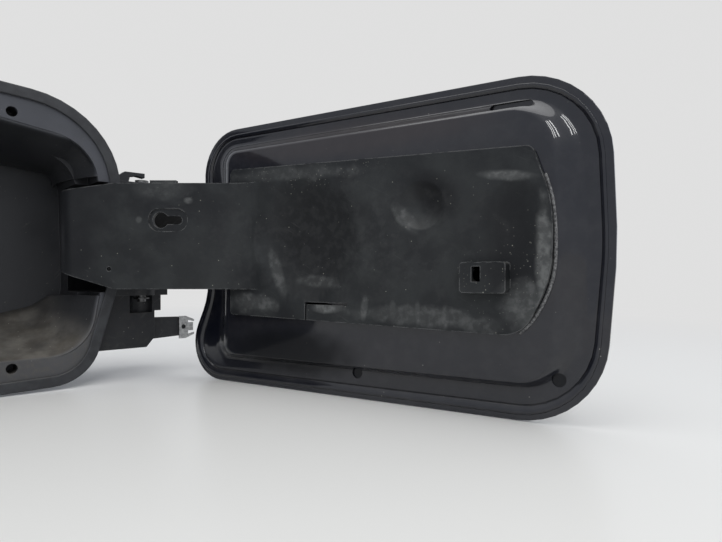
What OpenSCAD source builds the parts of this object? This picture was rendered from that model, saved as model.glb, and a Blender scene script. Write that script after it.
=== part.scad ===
// Filler flap of a car with its filler pot, standing on its lower edges with the flap open.
// X runs from the far side to the hinge side, Y into the car, Z up.
// The origin is the centre of the four fixing holes, in the rim's front plane.

/* [Pot rim] */
// Width of the rim from the far side to the hinge side
rim_w = 258; // [250:1:270]
// Height of the rim at its middle
rim_h = 169.5; // [166:0.5:172]
// Height of the rim's shoulders, where its sides meet its top
rim_shoulder = 160.5; // [157:0.5:162]
// Radius of the two upper corners
rim_top_r = 50; // [40:1:55]
// Height up to which the sides lean in towards the foot
rim_lean_h = 62; // [55:1:70]
// How far the sides lean in at the foot
rim_lean = 17; // [12:1:20]
// Radius of the two lower corners
rim_foot_r = 26; // [20:1:28]
// Height of the lower corners above the rim's lowest edge
rim_foot_rise = 2.5; // [0:0.5:3]
// Width of the level stretch of the lower edge
rim_foot_w = 78; // [60:1:100]
// Thickness of the flange
flange_t = 3; // [2.5:0.1:3.5]
// Distance of the neck axis from the rim's middle towards the hinge
neck_x = 30; // [27:1:33]
// Height of the neck axis and of the fixing holes' middle above the rim's foot
neck_h = 82; // [80:1:84]
// Radius of the four fixing holes in the flange
fixing_r = 2.7; // [2.2:0.1:3.2]
// Distance between the fixing holes across the pot
fixing_dx = 148; // [144:1:152]
// Distance between the upper and lower fixing holes
fixing_dz = 136; // [134:1:138]
// Length of the tubes behind the fixing holes
fixing_tube = 9; // [6:0.5:12]
// Thickness of the tubes' closed ends
fixing_end = 1.5; // [1:0.1:2]

/* [Rim seal] */
// Width of the seal's front lip
seal_w = 6; // [5:0.1:6.5]
// Thickness of the rubber
seal_t = 1.8; // [1.4:0.1:2.2]

/* [Bowl] */
// Thickness of the moulded walls
wall = 2.5; // [2.2:0.1:2.8]
// Width of the flange beside the mouth
mouth_side = 10.6; // [10:0.1:11.5]
// Height of the mouth's lower edge above the foot
mouth_low = 17.5; // [17:0.5:20]
// Height of the mouth's upper edge
mouth_high = 148; // [146:0.5:149]
// Height at which the mouth's upper corners begin
mouth_shoulder = 139; // [136:0.5:140]
// Length of the sloping upper corners
mouth_slope = 61; // [58:0.5:64]
// Depth of the notch in the flange where the arm passes
arm_notch = 4; // [3:0.1:5]
// Depth of the ledge round the bowl
ledge_depth = 20; // [19:0.5:21]
// Width of the ledge
ledge_w = 7; // [6:0.5:8]
// Width of the ledge along the lower wall
ledge_low_w = 1.5; // [1:0.1:3]
// Depth of the bowl's floor
bowl_depth = 60; // [58:0.5:64]
// Width of the deep part of the bowl
deep_w = 147.4; // [144:0.1:150]

/* [Neck and drain] */
// Radius of the neck seal's bore
neck_bore_r = 26; // [24:0.5:27]
// Radius of the hole in the floor
neck_hole_r = 31; // [30.5:0.5:33]
// Depth of the collar behind the floor
collar_l = 8; // [6:0.5:10]
// Outer radius of the drain spout
spout_r = 6; // [5:0.1:7]
// Radius of the drain
drain_r = 4; // [3:0.1:4.2]
// Depth of the drain behind the rim plane
drain_y = 46; // [42:0.5:48]
// Distance of the drain from the rim's middle
drain_x = 0; // [-10:1:10]

/* [Hinge] */
// Distance of the hinge axis beyond the rim's edge
axis_out = 16; // [15.5:0.1:16.5]
// Depth of the hinge axis behind the rim plane
axis_deep = 9; // [8.8:0.1:9.4]
// Angle of the open flap
open_angle = 107; // [100:1:108]
// Radius of the hinge pin
pin_r = 2.5; // [2.2:0.1:2.8]
// Radius of the arm's knuckle
knuckle_r = 5.4; // [5.2:0.1:5.6]
// Height of the knuckle
knuckle_h = 44.5; // [42:0.5:45]
// Height of the knuckle's lower end from the neck axis
knuckle_z = -15.5; // [-16:0.5:-14]
// Inner radius of the hinge pocket round the pin
pocket_r = 48; // [47.5:0.1:49]
// How far the pocket reaches beyond the rim's edge
pocket_out = 45; // [45:0.5:48]
// How far the tall part of the pocket reaches beyond the rim's edge
pocket_tall_out = 30; // [29:0.5:31]
// Lowest level inside the pocket
pocket_z0 = -28.5; // [-30:0.5:-28]
// Highest level inside the pocket
pocket_z1 = 36; // [36:0.5:38]

/* [Flap] */
// Length of the flap from the hinge-side edge to its free end
flap_l = 231.5; // [228:0.5:234]
// Height of the flap
flap_h = 150; // [149:0.5:152]
// Distance of the closed flap's edge inside the rim's edge
flap_in = 22; // [21:0.5:23]
// Distance of the closed hem in front of the rim plane
flap_gap = 8; // [7.5:0.1:8.5]
// Height of the flap's lower edge above the rim's
flap_lift = 0.2; // [0.1:0.1:0.4]
// Outward crown of the flap over its height
crown = 3; // [2:0.1:4]
// Thickness of the sheet metal
sheet = 0.8; // [0.7:0.1:1]
// Width of the folded hem
hem_w = 4.5; // [4:0.5:6]
// Distance from the upper edge to the foot of the raised field
gutter_top = 9; // [8:0.5:10]
// Distance from the lower edge to the foot of the raised field
gutter_low = 13.5; // [13:0.5:14.5]
// Distance from the free end to the foot of the raised field
gutter_end = 9.5; // [9:0.5:10.5]
// Distance from the hinge-side edge to the foot of the raised field
gutter_hinge = 13; // [12:0.5:14]
// Width of the field's slope at the top
slope_top = 6.5; // [5:0.5:7]
// Width of the field's slope at the bottom
slope_low = 4; // [3.5:0.5:6]
// Width of the field's slope at the free end
slope_end = 13; // [12:0.5:13.5]
// Width of the field's slope at the hinge side
slope_hinge = 13.5; // [12:0.5:15]
// Radius of the two drain holes
drip_r = 3; // [2.4:0.1:3.2]

/* [Arm and tongue] */
// Thickness of the tongue
tongue_t = 3; // [2.8:0.1:3.4]
// Height of the tongue's face behind the closed hem
tongue_rise = 6.5; // [6.4:0.1:7]
// Distance of the tongue's root from the hinge-side edge
tongue_root = 27.5; // [26:0.5:29]
// Distance of the tongue's tip from the hinge-side edge
tongue_tip = 208; // [206:0.5:209]
// Distance at which the arm rises from the tongue
arm_root = 41; // [40:0.5:43]
// Thickness of the arm's web
arm_t = 4; // [3.6:0.1:4.2]
// Height of the arm where it is wide
arm_h = 60.5; // [58:0.5:61]
// Level of the arm's lower edge from the neck axis
arm_z = -26.5; // [-27:0.5:-26]
// Depth of the arm's edge ribs
rib_d = 4; // [3:0.1:4.5]
// Radius of the round dish in the tongue
dish_r = 35; // [33:0.5:36]
// Depth of the dish
dish_d = 5; // [4:0.1:5.2]
// Radius of the small dimple
dimple_r = 12; // [11:0.5:13]
// Depth of the small dimple
dimple_d = 3; // [2:0.1:3.4]
// Radius of the round end of the keyhole
keyhole_r = 4.5; // [4:0.1:5]
// Width of the keyhole's slot
keyhole_w = 4.7; // [4:0.1:5.2]
// Length of the keyhole's slot from the round end
keyhole_l = 10; // [9:0.1:12]
// Distance of the finger hollow from the hinge-side edge
scoop_u = 193; // [191:0.5:194]
// Height of the finger hollow's middle above the rim's foot
scoop_v = 75; // [73:0.5:77]
// Half the width of the finger hollow
scoop_w = 12; // [10:0.5:12.5]
// Height of the finger hollow
scoop_h = 64; // [60:1:66]
// Depth of the finger hollow
scoop_d = 2; // [1:0.1:2.1]

/* [Lock] */
// Distance of the lock pin from the flap's hinge-side edge
lock_u = 177; // [175:0.5:178]
// Height of the lock pin above the rim's lower edge
lock_h = 64; // [63:0.5:65]
// Travel of the lock pin
lock_travel = 8; // [7:0.1:8]
// Radius of the lock pin's shank
shank_r = 1.2; // [1.1:0.1:1.3]
// Length of the crosswise head
head_l = 5.4; // [5.2:0.1:5.6]
// Radius of the sliding sleeve
sleeve_r = 6; // [5.6:0.1:6.2]
// Width of the actuator case
case_w = 46; // [44:0.5:48]
// Height of the actuator case
case_h = 52; // [50:0.5:54]
// Depth of the actuator case
case_d = 32; // [31:0.5:34]

/* [Hidden] */
$fn = 48;

// Clearance between parts that touch and do not move
seat = 0.1;
// Radial clearance of a running fit
run = 0.05;
// Clearance of a part that moves past another
free = 0.4;
// Overrun of a cut past a face
cut = 1;

rim_x = rim_w / 2;
axis_x = rim_x + axis_out;
axis_y = axis_deep;
flap_x = rim_x - flap_in;
hem_y = -flap_gap;
knuckle_top = knuckle_z + knuckle_h;
lock_x = flap_x - lock_u;
lock_z = lock_h - neck_h;
shelf_back = ledge_depth + wall;
table_z = -neck_h;

function unit(v) = v / norm(v);
function left_of(v) = [-v[1], v[0]];
function cross2(a, b) = a[0] * b[1] - a[1] * b[0];
function xy(p) = [p[0], p[1]];

// Points of the arc that rounds corner b between a and c with radius r
function corner(a, b, c, r, step) =
    let (
        u = unit(a - b),
        w = unit(c - b),
        half = acos(max(-1, min(1, u * w))) / 2,
        t = r / tan(half),
        p = b + u * t,
        m = b + unit(u + w) * r / sin(half),
        from = atan2(p[1] - m[1], p[0] - m[0]),
        turn = (180 - 2 * half) * (cross2(b - a, c - b) > 0 ? 1 : -1),
        n = max(1, ceil(abs(turn) / step))
    )
    r < 0.05 || half > 89.5 ? [b] : [for (i = [0:n]) m + r * [cos(from + turn * i / n), sin(from + turn * i / n)]];

// Closed outline with its corners rounded; each corner is [x, y, radius]
function rounded(c, step = 9) =
    [for (i = [0:len(c) - 1])
        each corner(xy(c[(i + len(c) - 1) % len(c)]), xy(c[i]), xy(c[(i + 1) % len(c)]), c[i][2], step)];

// Corner moved inwards by d from its two edges
function moved(a, b, c, d) =
    let (
        n1 = left_of(unit(xy(b) - xy(a))),
        n2 = left_of(unit(xy(c) - xy(b))),
        p = xy(b) + (n1 + n2) * d / (1 + n1 * n2),
        bend = cross2(xy(b) - xy(a), xy(c) - xy(b)) > 0 ? -d : d
    )
    [p[0], p[1], max(0.2, b[2] + bend)];

// Outline moved inwards by d, or outwards where d is negative
function inset(c, d) =
    [for (i = [0:len(c) - 1]) moved(c[(i + len(c) - 1) % len(c)], c[i], c[(i + 1) % len(c)], d)];

// Open path moved to its left by d, with the radii following
function path_moved(c, d) =
    [for (i = [0:len(c) - 1])
        let (
            a = i == 0 ? xy(c[0]) * 2 - xy(c[1]) : xy(c[i - 1]),
            e = i == len(c) - 1 ? xy(c[i]) * 2 - xy(c[i - 1]) : xy(c[i + 1])
        )
        moved([a[0], a[1], 0], c[i], [e[0], e[1], 0], d)];

// Path with rounded corners
function path_points(c, step = 12) =
    [for (i = [0:len(c) - 1])
        each (i == 0 || i == len(c) - 1
            ? [xy(c[i])]
            : corner(xy(c[i - 1]), xy(c[i]), xy(c[i + 1]), c[i][2], step))];

function backwards(p) = [for (i = [len(p) - 1:-1:0]) p[i]];

// Outline given by distances from the hinge-side edge and heights above the foot
function placed(c, edge_x) = [for (p = c) [edge_x - p[0], p[1] - neck_h, p[2]]];

// Plate with its faces at y0 and y1
module slab(points, y0, y1) {
    translate([0, y1, 0])
        rotate([90, 0, 0])
            linear_extrude(y1 - y0)
                polygon(points);
}

// Cylinder along Y from y0 to y1
module rod_y(x, z, r, y0, y1) {
    translate([x, y1, z])
        rotate([90, 0, 0])
            cylinder(r = r, h = y1 - y0);
}

// Level slice of a coiled round wire, so that its twisted extrusion is the coil
function coil_slice(r, wire, pitch) =
    let (span = 360 * wire / pitch, n = 6)
    concat(
        [for (i = [-n:n]) (r + wire * sqrt(1 - pow(i / n, 2))) * [cos(span * i / n), sin(span * i / n)]],
        [for (i = [n - 1:-1:1 - n]) (r - wire * sqrt(1 - pow(i / n, 2))) * [cos(span * i / n), sin(span * i / n)]]);

module coil(r, wire, pitch, turns) {
    linear_extrude(height = pitch * turns, twist = -360 * turns, slices = 14 * turns, segments = 0)
        polygon(coil_slice(r, wire, pitch));
}

module block(a, b) {
    translate(a)
        cube(b - a);
}

// Turns what is drawn at the closed flap to its open place
module opened() {
    translate([axis_x, axis_y, 0])
        rotate([0, 0, open_angle])
            translate([-axis_x, -axis_y, 0])
                children();
}

rim_outline = placed([
    [0, rim_shoulder, rim_top_r],
    [rim_w / 2, rim_h, 300],
    [rim_w, rim_shoulder, rim_top_r],
    [rim_w, rim_lean_h, 60],
    [rim_w - rim_lean, rim_foot_rise, rim_foot_r],
    [(rim_w + rim_foot_w) / 2, 0, 300],
    [(rim_w - rim_foot_w) / 2, 0, 300],
    [rim_lean, rim_foot_rise, rim_foot_r],
    [0, rim_lean_h, 60]], rim_x);

// Height up to which the mouth's sides lean in, and by how much
mouth_bend = rim_lean_h - 7;
mouth_lean = 6.5;
mouth_outline = placed([
    [mouth_side + 2, mouth_shoulder, 26],
    [mouth_side + mouth_slope, mouth_high, 80],
    [rim_w - mouth_side - mouth_slope, mouth_high, 80],
    [rim_w - mouth_side - 2, mouth_shoulder, 26],
    [rim_w - mouth_side, mouth_bend, 50],
    [rim_w - mouth_side - mouth_lean, mouth_low, 24],
    [mouth_side + mouth_lean, mouth_low, 24],
    [mouth_side, mouth_bend, 50]], rim_x);

deep_side = mouth_side + ledge_w;
deep_low = mouth_low + ledge_low_w;
deep_high = mouth_high - ledge_w;
deep_outline = placed([
    [deep_side + 2, mouth_shoulder - ledge_w, 20],
    [deep_side + mouth_slope, deep_high, 60],
    [deep_side + deep_w, deep_high, 26],
    [deep_side + deep_w, deep_low, 26],
    [deep_side + mouth_lean, deep_low, 22],
    [deep_side, mouth_bend, 45]], rim_x);

flap_outline = placed([
    [-2.7, flap_h + flap_lift, 28],
    [flap_l - 2.7, flap_h + flap_lift, 38],
    [flap_l, flap_h / 2, 150],
    [flap_l - 5.5, flap_lift, 37],
    [-23.7, flap_lift, 23],
    [-0.7, flap_h / 3, 40]], flap_x);

tongue_outline = placed([
    [tongue_root, 124.7, 3],
    [tongue_tip - 8.2, 118.3, 4],
    [tongue_tip + 0.2, 94, 50],
    [tongue_tip, 64, 50],
    [tongue_tip - 12, 37.5, 14],
    [tongue_root, 40.8, 2]], flap_x);

// Filler pot

// Space swept by the arm, at a given growth for the walls
module pocket_space(grow) {
    intersection() {
        translate([axis_x, axis_y, pocket_z0 - grow])
            cylinder(r = pocket_r + grow, h = pocket_z1 - pocket_z0 + 2 * grow, $fn = 96);
        union() {
            block([rim_x - 60, flange_t + wall - grow, pocket_z0 - grow],
                [rim_x + pocket_tall_out - wall + grow, 90, pocket_z1 + grow]);
            block([rim_x, flange_t + wall - grow, knuckle_z - 5 - grow],
                [rim_x + pocket_out - wall + grow, 90, knuckle_top + 3 + grow]);
        }
    }
}

module pocket_shell() {
    intersection() {
        pocket_space(wall);
        block([rim_x - mouth_side - ledge_w - wall, 0, -99], [rim_x + 99, 99, 99]);
    }
    translate([axis_x, axis_y, pocket_z0 - wall])
        cylinder(r = knuckle_r + 3, h = pocket_z1 - pocket_z0 + 2 * wall);
}

// Blocks below the pocket, with the tongue that carries the sheet-metal clip
spring_box_z = -41;
foot_box_z = -64;
foot_box_out = 24.5;
tongue_y = 17;
tongue_len = 24;
module side_blocks() {
    block([rim_x - 12, 10, spring_box_z], [rim_x + 28.5, 46, pocket_z0 - wall + 0.01]);
    slab([
        [rim_x - 14, spring_box_z + 0.01],
        [rim_x - 14, foot_box_z],
        [rim_x + foot_box_out - 5, foot_box_z],
        [rim_x + foot_box_out, foot_box_z + 6],
        [rim_x + foot_box_out, spring_box_z + 0.01]], 10, 38);
    slab([
        [rim_x + foot_box_out - 1, -60],
        [rim_x + foot_box_out + tongue_len - 4, -59],
        [rim_x + foot_box_out + tongue_len, -56],
        [rim_x + foot_box_out + tongue_len, -49],
        [rim_x + foot_box_out + tongue_len - 4, -46.5],
        [rim_x + foot_box_out - 1, -46]], tongue_y, tongue_y + 4);
}

// Snap hook on top of the pocket that holds the hinge pin down
hook_z = pocket_z1 + wall;
module pin_hook() {
    slab([
        [axis_x - 14, hook_z - 1],
        [axis_x - 9, hook_z - 1],
        [axis_x - 8, hook_z + 3.6],
        [axis_x - 4, hook_z + 4.4],
        [axis_x + 1, hook_z + 3.6],
        [axis_x + 1, hook_z + 6.4],
        [axis_x - 11, hook_z + 6.4],
        [axis_x - 14, hook_z + 4]], axis_y - 2.5, axis_y + 2.5);
}

module drain_spout() {
    translate([drain_x, drain_y, table_z])
        cylinder(r = spout_r, h = deep_low - wall + 1);
    translate([drain_x, drain_y, table_z + 7])
        cylinder(r = spout_r + 0.8, h = 2);
}

boss_r = sleeve_r + 3;
boss_front = ledge_depth - 13;
screw_z = [lock_z + case_h / 2 + 5, lock_z - case_h / 2 - 5];
module lock_boss() {
    rod_y(lock_x, lock_z, boss_r, boss_front, shelf_back);
    for (z = screw_z)
        rod_y(lock_x, z, 5, shelf_back - 1, shelf_back + 1.6);
}

// Stiffening ribs between the bowl's walls and the flange
module flange_ribs() {
    for (x = [-66, -33, 0, 33, 66]) {
        block([x - 1, flange_t - 1, mouth_high - neck_h - 2], [x + 1, 14, mouth_high - neck_h + 11]);
        block([x - 1, flange_t - 1, mouth_low - neck_h - 11], [x + 1, 14, mouth_low - neck_h + 2]);
    }
}

// Walls of the pot with the bowl, the pocket and the blocks hollowed out
module pot_walls() {
    difference() {
        union() {
            slab(rounded(inset(rim_outline, seal_t + seat)), 0, flange_t);
            slab(rounded(inset(mouth_outline, -wall)), 0, shelf_back);
            slab(rounded(inset(deep_outline, -wall)), ledge_depth - 1, bowl_depth + wall);
            pocket_shell();
            side_blocks();
            pin_hook();
            drain_spout();
            flange_ribs();
            rod_y(neck_x, 0, neck_hole_r + wall, bowl_depth, bowl_depth + collar_l);
            for (sx = [-1, 1], sz = [-1, 1])
                rod_y(sx * fixing_dx / 2, sz * fixing_dz / 2, fixing_r + 1.8, flange_t - 1, flange_t + fixing_tube + fixing_end);
        }
        slab(rounded(mouth_outline), -cut, ledge_depth);
        block([rim_x - mouth_side - 9, -cut, pocket_z0], [rim_x - mouth_side + arm_notch, 9, pocket_z1]);
        slab(rounded(deep_outline), -cut, bowl_depth);
        difference() {
            pocket_space(0);
            translate([axis_x, axis_y, pocket_z0 - cut])
                cylinder(r = knuckle_r + 0.4, h = knuckle_z - pocket_z0 - 8 + cut);
            translate([axis_x, axis_y, knuckle_top + free])
                cylinder(r = knuckle_r + 0.4, h = 20);
        }
        translate([axis_x, axis_y, knuckle_z - 8])
            cylinder(r = knuckle_r + 1.2, h = knuckle_h + 8 + free);
        translate([axis_x, axis_y, spring_box_z])
            cylinder(r = pin_r, h = hook_z + 0.5 - spring_box_z);
        translate([axis_x, axis_y, spring_box_z - cut])
            cylinder(r = 7, h = pocket_z0 - wall - spring_box_z + cut);
        rod_y(neck_x, 0, neck_hole_r, bowl_depth - cut, bowl_depth + collar_l + cut);
        translate([drain_x, drain_y, table_z - cut])
            cylinder(r = drain_r, h = deep_low + 2 * cut);
        for (sx = [-1, 1], sz = [-1, 1])
            rod_y(sx * fixing_dx / 2, sz * fixing_dz / 2, fixing_r, -cut, flange_t + fixing_tube);
        block([rim_x - 8, 14, foot_box_z + wall], [rim_x + foot_box_out - wall, 99, spring_box_z - wall]);
    }
}

module filler_pot() {
    color([0.055, 0.055, 0.06])
        difference() {
            union() {
                pot_walls();
                lock_boss();
            }
            rod_y(lock_x, lock_z, sleeve_r + run, boss_front - cut, shelf_back + cut);
            for (z = screw_z)
                rod_y(lock_x, z, 1.9, shelf_back - 1.4, shelf_back + 3);
        }
}

// Rubber seal round the rim: a front lip and an edge that covers the flange's side
module rim_seal() {
    color([0.07, 0.07, 0.07]) {
        difference() {
            slab(rounded(rim_outline), -seal_t, flange_t - seat);
            slab(rounded(inset(rim_outline, seal_t)), -seat, flange_t + cut);
            slab(rounded(inset(rim_outline, seal_w)), -seal_t - cut, cut);
        }
    }
}

// Rubber ring in the floor that closes round the filler neck
module neck_seal() {
    y0 = bowl_depth - 4;
    y1 = bowl_depth + collar_l + 2;
    color([0.06, 0.06, 0.06])
        translate([neck_x, 0, 0])
            rotate([-90, 0, 0])
                rotate_extrude($fn = 96)
                    polygon([
                        [neck_bore_r, y0 + 5],
                        [neck_bore_r + 1, y0 + 2],
                        [neck_bore_r + 4, y0 + 1],
                        [neck_hole_r + 4, y0 + 1],
                        [neck_hole_r + 4, bowl_depth - seat],
                        [neck_hole_r - seat, bowl_depth - seat],
                        [neck_hole_r - seat, y1],
                        [neck_hole_r - 2.5, y1],
                        [neck_hole_r - 2.5, y0 + 8],
                        [neck_bore_r + 1.5, y0 + 11],
                        [neck_bore_r, y0 + 11]]);
}

// Hinge

pin_low = pocket_z0 - wall - 4;
pin_high = pocket_z1 + wall;
module hinge_pin() {
    color([0.62, 0.62, 0.64])
        difference() {
            union() {
                translate([axis_x, axis_y, pin_low])
                    cylinder(r = pin_r, h = pin_high - pin_low + seat);
                translate([axis_x, axis_y, pin_high + seat])
                    cylinder(r = pin_r + 1.5, h = 2);
            }
            translate([axis_x, axis_y, pin_low + 1.6])
                rotate_extrude()
                    translate([pin_r - 0.6, 0])
                        square([2, 1]);
        }
}

// Snap ring in the groove at the pin's lower end
module pin_clip() {
    color([0.5, 0.5, 0.52])
        translate([axis_x, axis_y, pin_low + 1.7])
            difference() {
                cylinder(r = pin_r + 2, h = 0.8);
                translate([0, 0, -cut])
                    cylinder(r = pin_r - 0.5, h = 3);
                translate([0, -1.6, -cut])
                    cube([10, 3.2, 3]);
            }
}

// Leg spring round the pin below the knuckle
spring_wire = 0.8;
spring_r = pin_r + 1.4;
spring_pitch = 1.8;
spring_turns = 3.5;
spring_z = knuckle_z - 7.3;
module flap_spring() {
    color([0.45, 0.45, 0.47])
        translate([axis_x, axis_y, spring_z]) {
            coil(spring_r, spring_wire, spring_pitch, spring_turns);
            translate([0, spring_r, spring_pitch / 4])
                rotate([0, 90, 0])
                    cylinder(r = spring_wire, h = pocket_tall_out - axis_out - wall - free, $fn = 16);
            translate([0, spring_r, spring_pitch * 3.25])
                rotate([0, -90, 0])
                    cylinder(r = spring_wire, h = 13, $fn = 16);
        }
}

// Sheet-metal clip that straddles the tongue beside the pot
clip_t = 0.8;
clip_x = rim_x + foot_box_out + tongue_len - 5;
module spring_clip() {
    color([0.6, 0.61, 0.62])
        difference() {
            union() {
                slab([
                    [clip_x, -61],
                    [clip_x + 4.5, -61],
                    [clip_x + 10.5, -58.6],
                    [clip_x + 10.5, -57.2],
                    [clip_x + 6.2, -58.2],
                    [clip_x + 6.2, -56],
                    [clip_x + 9.8, -56],
                    [clip_x + 9.8, -50.5],
                    [clip_x + 6.2, -50.5],
                    [clip_x + 6.2, -48.9],
                    [clip_x + 10.5, -49.9],
                    [clip_x + 10.5, -48.5],
                    [clip_x + 4.5, -46],
                    [clip_x, -46]], tongue_y - clip_t - seat, tongue_y - seat);
                slab([
                    [clip_x, -58.6],
                    [clip_x + 5.1, -58.6],
                    [clip_x + 5.1, -48],
                    [clip_x, -48]], tongue_y + 4 + seat, tongue_y + 4 + seat + clip_t);
                block([clip_x + 5 + seat, tongue_y - clip_t - seat, -56],
                    [clip_x + 5 + seat + clip_t, tongue_y + 4 + seat + clip_t, -50.5]);
            }
            rod_y(clip_x + 3, -53.2, 1.5, tongue_y - 3, tongue_y - seat + 0.2);
        }
}

// Lock

gasket_t = 1.4;
case_y0 = shelf_back + gasket_t + 2 * seat;
case_y1 = case_y0 + case_d;
case_x0 = lock_x - case_w / 2;
case_x1 = lock_x + case_w / 2;
case_z0 = lock_z - case_h / 2;
case_z1 = lock_z + case_h / 2;
case_wall = 2;

function box_outline(x0, x1, z0, z1, r) = rounded([[x1, z1, r], [x0, z1, r], [x0, z0, r], [x1, z0, r]], 15);

module actuator_gasket() {
    color([0.1, 0.1, 0.1])
        difference() {
            slab(box_outline(case_x0 + 3, case_x1 - 3, case_z0 + 3, case_z1 - 3, 5),
                shelf_back + seat, shelf_back + seat + gasket_t);
            slab(box_outline(case_x0 + 7, case_x1 - 7, case_z0 + 7, case_z1 - 7, 3),
                shelf_back - cut, shelf_back + seat + gasket_t + cut);
        }
}

socket_l = 20;
socket_z = lock_z - 8;
socket_y = case_y0 + 15;
module actuator_case() {
    color([0.09, 0.09, 0.1])
        difference() {
            union() {
                slab(box_outline(case_x0, case_x1, case_z0, case_z1, 4), case_y0, case_y1);
                for (z = screw_z)
                    rod_y(lock_x, z, 5, shelf_back + 1.6 + seat, shelf_back + 5);
                block([lock_x - 4, shelf_back + 1.7, case_z0 - 5], [lock_x + 4, shelf_back + 5, case_z1 + 5]);
                block([case_x0 - socket_l, socket_y - 7, socket_z - 10],
                    [case_x0 + 1, socket_y + 7, socket_z + 10]);
            }
            slab(box_outline(case_x0 + case_wall, case_x1 - case_wall, case_z0 + case_wall, case_z1 - case_wall, 2),
                case_y0 + case_wall, case_y1 + cut);
            rod_y(lock_x, lock_z, sleeve_r + free, 0, case_y0 + case_wall + cut);
            for (z = screw_z)
                rod_y(lock_x, z, 2.1, 0, shelf_back + 9);
            block([case_x0 - socket_l - cut, socket_y - 5, socket_z - 8],
                [case_x0 - 2, socket_y + 5, socket_z + 8]);
            for (s = [-1, 1])
                block([case_x0 - 4, socket_y - 0.5, socket_z + s * 3.5 - 1.2],
                    [case_x0 + 4, socket_y + 0.5, socket_z + s * 3.5 + 1.2]);
        }
}

// Cover on the case's back, with a step that fits inside its walls
module actuator_cover() {
    color([0.08, 0.08, 0.09]) {
        slab(box_outline(case_x0, case_x1, case_z0, case_z1, 4), case_y1 + seat, case_y1 + 2.2);
        difference() {
            slab(box_outline(case_x0 + case_wall + 0.15, case_x1 - case_wall - 0.15,
                case_z0 + case_wall + 0.15, case_z1 - case_wall - 0.15, 1.9), case_y1 - 2, case_y1 + 1);
            slab(box_outline(case_x0 + case_wall + 2, case_x1 - case_wall - 2,
                case_z0 + case_wall + 2, case_z1 - case_wall - 2, 1), case_y1 - 2 - cut, case_y1 + seat);
        }
    }
}

module actuator_screws() {
    color([0.6, 0.6, 0.58])
        for (z = screw_z)
            difference() {
                union() {
                    rod_y(lock_x, z, 1.85, shelf_back - 1.2, shelf_back + 5.2);
                    rod_y(lock_x, z, 4, shelf_back + 5.1, shelf_back + 7.4);
                }
                for (turn = [0, 90])
                    translate([lock_x, shelf_back + 7.4, z])
                        rotate([0, turn, 0])
                            cube([5, 2, 1], center = true);
            }
}

module terminals() {
    color([0.72, 0.6, 0.3])
        for (s = [-1, 1])
            block([case_x0 - 13, socket_y - 0.4, socket_z + s * 3.5 - 1.1],
                [case_x0 + 3.5, socket_y + 0.4, socket_z + s * 3.5 + 1.1]);
}

// Small motor that drives the lock, lying in the case beside the pin
motor_r = 7;
motor_x = lock_x - 13;
module lock_motor() {
    color([0.55, 0.55, 0.56])
        translate([motor_x, case_y0 + 12, lock_z + 3])
            union() {
                cylinder(r = motor_r, h = 19);
                translate([0, 0, -9])
                    cylinder(r = 1, h = 9.5);
                translate([0, 0, -8.5])
                    cylinder(r = 2.6, h = 7);
                block([-motor_r, -motor_r - 2.9, 2], [motor_r, 0, 5]);
            }
}

sleeve_y0 = 5.4;
sleeve_y1 = shelf_back + 7;
module lock_spring() {
    y0 = sleeve_y1 + 0.2;
    y1 = case_y1 - 0.2;
    color([0.5, 0.5, 0.5])
        translate([lock_x, y1, lock_z])
            rotate([90, 0, 0])
                coil(4, 0.6, (y1 - y0) / 6, 6);
}

// Wiper ring in front of the lock boss
module lock_seal() {
    color([0.05, 0.05, 0.05])
        difference() {
            rod_y(lock_x, lock_z, boss_r, boss_front - 2, boss_front - seat);
            rod_y(lock_x, lock_z, sleeve_r + free, boss_front - 3, boss_front + 1);
        }
}

module lock_sleeve() {
    color([0.75, 0.74, 0.7])
        difference() {
            rod_y(lock_x, lock_z, sleeve_r, sleeve_y0, sleeve_y1);
            rod_y(lock_x, lock_z, shank_r + run, 0, sleeve_y1 + cut);
        }
}

head_y = -9.5;
head_t = 2.5;
module lock_pin() {
    color([0.8, 0.79, 0.75]) {
        rod_y(lock_x, lock_z, shank_r, head_y + head_t - 0.5, sleeve_y1 + 4);
        slab(box_outline(lock_x - shank_r, lock_x + shank_r, lock_z - head_l / 2, lock_z + head_l / 2, 1.2),
            head_y, head_y + head_t);
        difference() {
            rod_y(lock_x, lock_z, shank_r + 1.2, sleeve_y1 + 0.1, sleeve_y1 + 2);
            block([lock_x - 9, 0, lock_z + 2.2], [lock_x + 9, 60, lock_z + 9]);
        }
        rod_y(lock_x, lock_z, shank_r + 1.2, sleeve_y0 - 1.6, sleeve_y0 - 0.1);
    }
}

// Flap, drawn closed and turned open

tongue_y0 = hem_y + tongue_rise - tongue_t;
tongue_y1 = hem_y + tongue_rise;

// Face of the arm that looks into the bowl, from the tongue to the knuckle
arm_path = [
    [flap_x - arm_root - 30, tongue_y1 - 0.05, 0],
    [flap_x - arm_root, tongue_y1 - 0.05, 30],
    [axis_x - 17, axis_y + 27, 120],
    [axis_x + 22, axis_y + 52, 11.5],
    [axis_x + 24.5, axis_y + 14, 13],
    [axis_x + 13, axis_y - 2, 9],
    [axis_x, axis_y - 2, 0]];

// Solid between two offsets of the arm's face
module arm_band(d0, d1, z0, z1) {
    translate([0, 0, z0])
        linear_extrude(z1 - z0)
            polygon(concat(
                path_points(path_moved(arm_path, -d0)),
                backwards(path_points(path_moved(arm_path, -d1)))));
}

// Side view of the arm: full height at the flap, narrower round the pin
arm_top = arm_z + arm_h;
module arm_side() {
    slab([
        [flap_x - 60, arm_z],
        [axis_x - 14, arm_z],
        [axis_x + 16, knuckle_z],
        [axis_x + 60, knuckle_z],
        [axis_x + 60, knuckle_top],
        [axis_x + 16, knuckle_top],
        [axis_x - 14, arm_top],
        [flap_x - 60, arm_top]], -30, 90);
}

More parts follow.
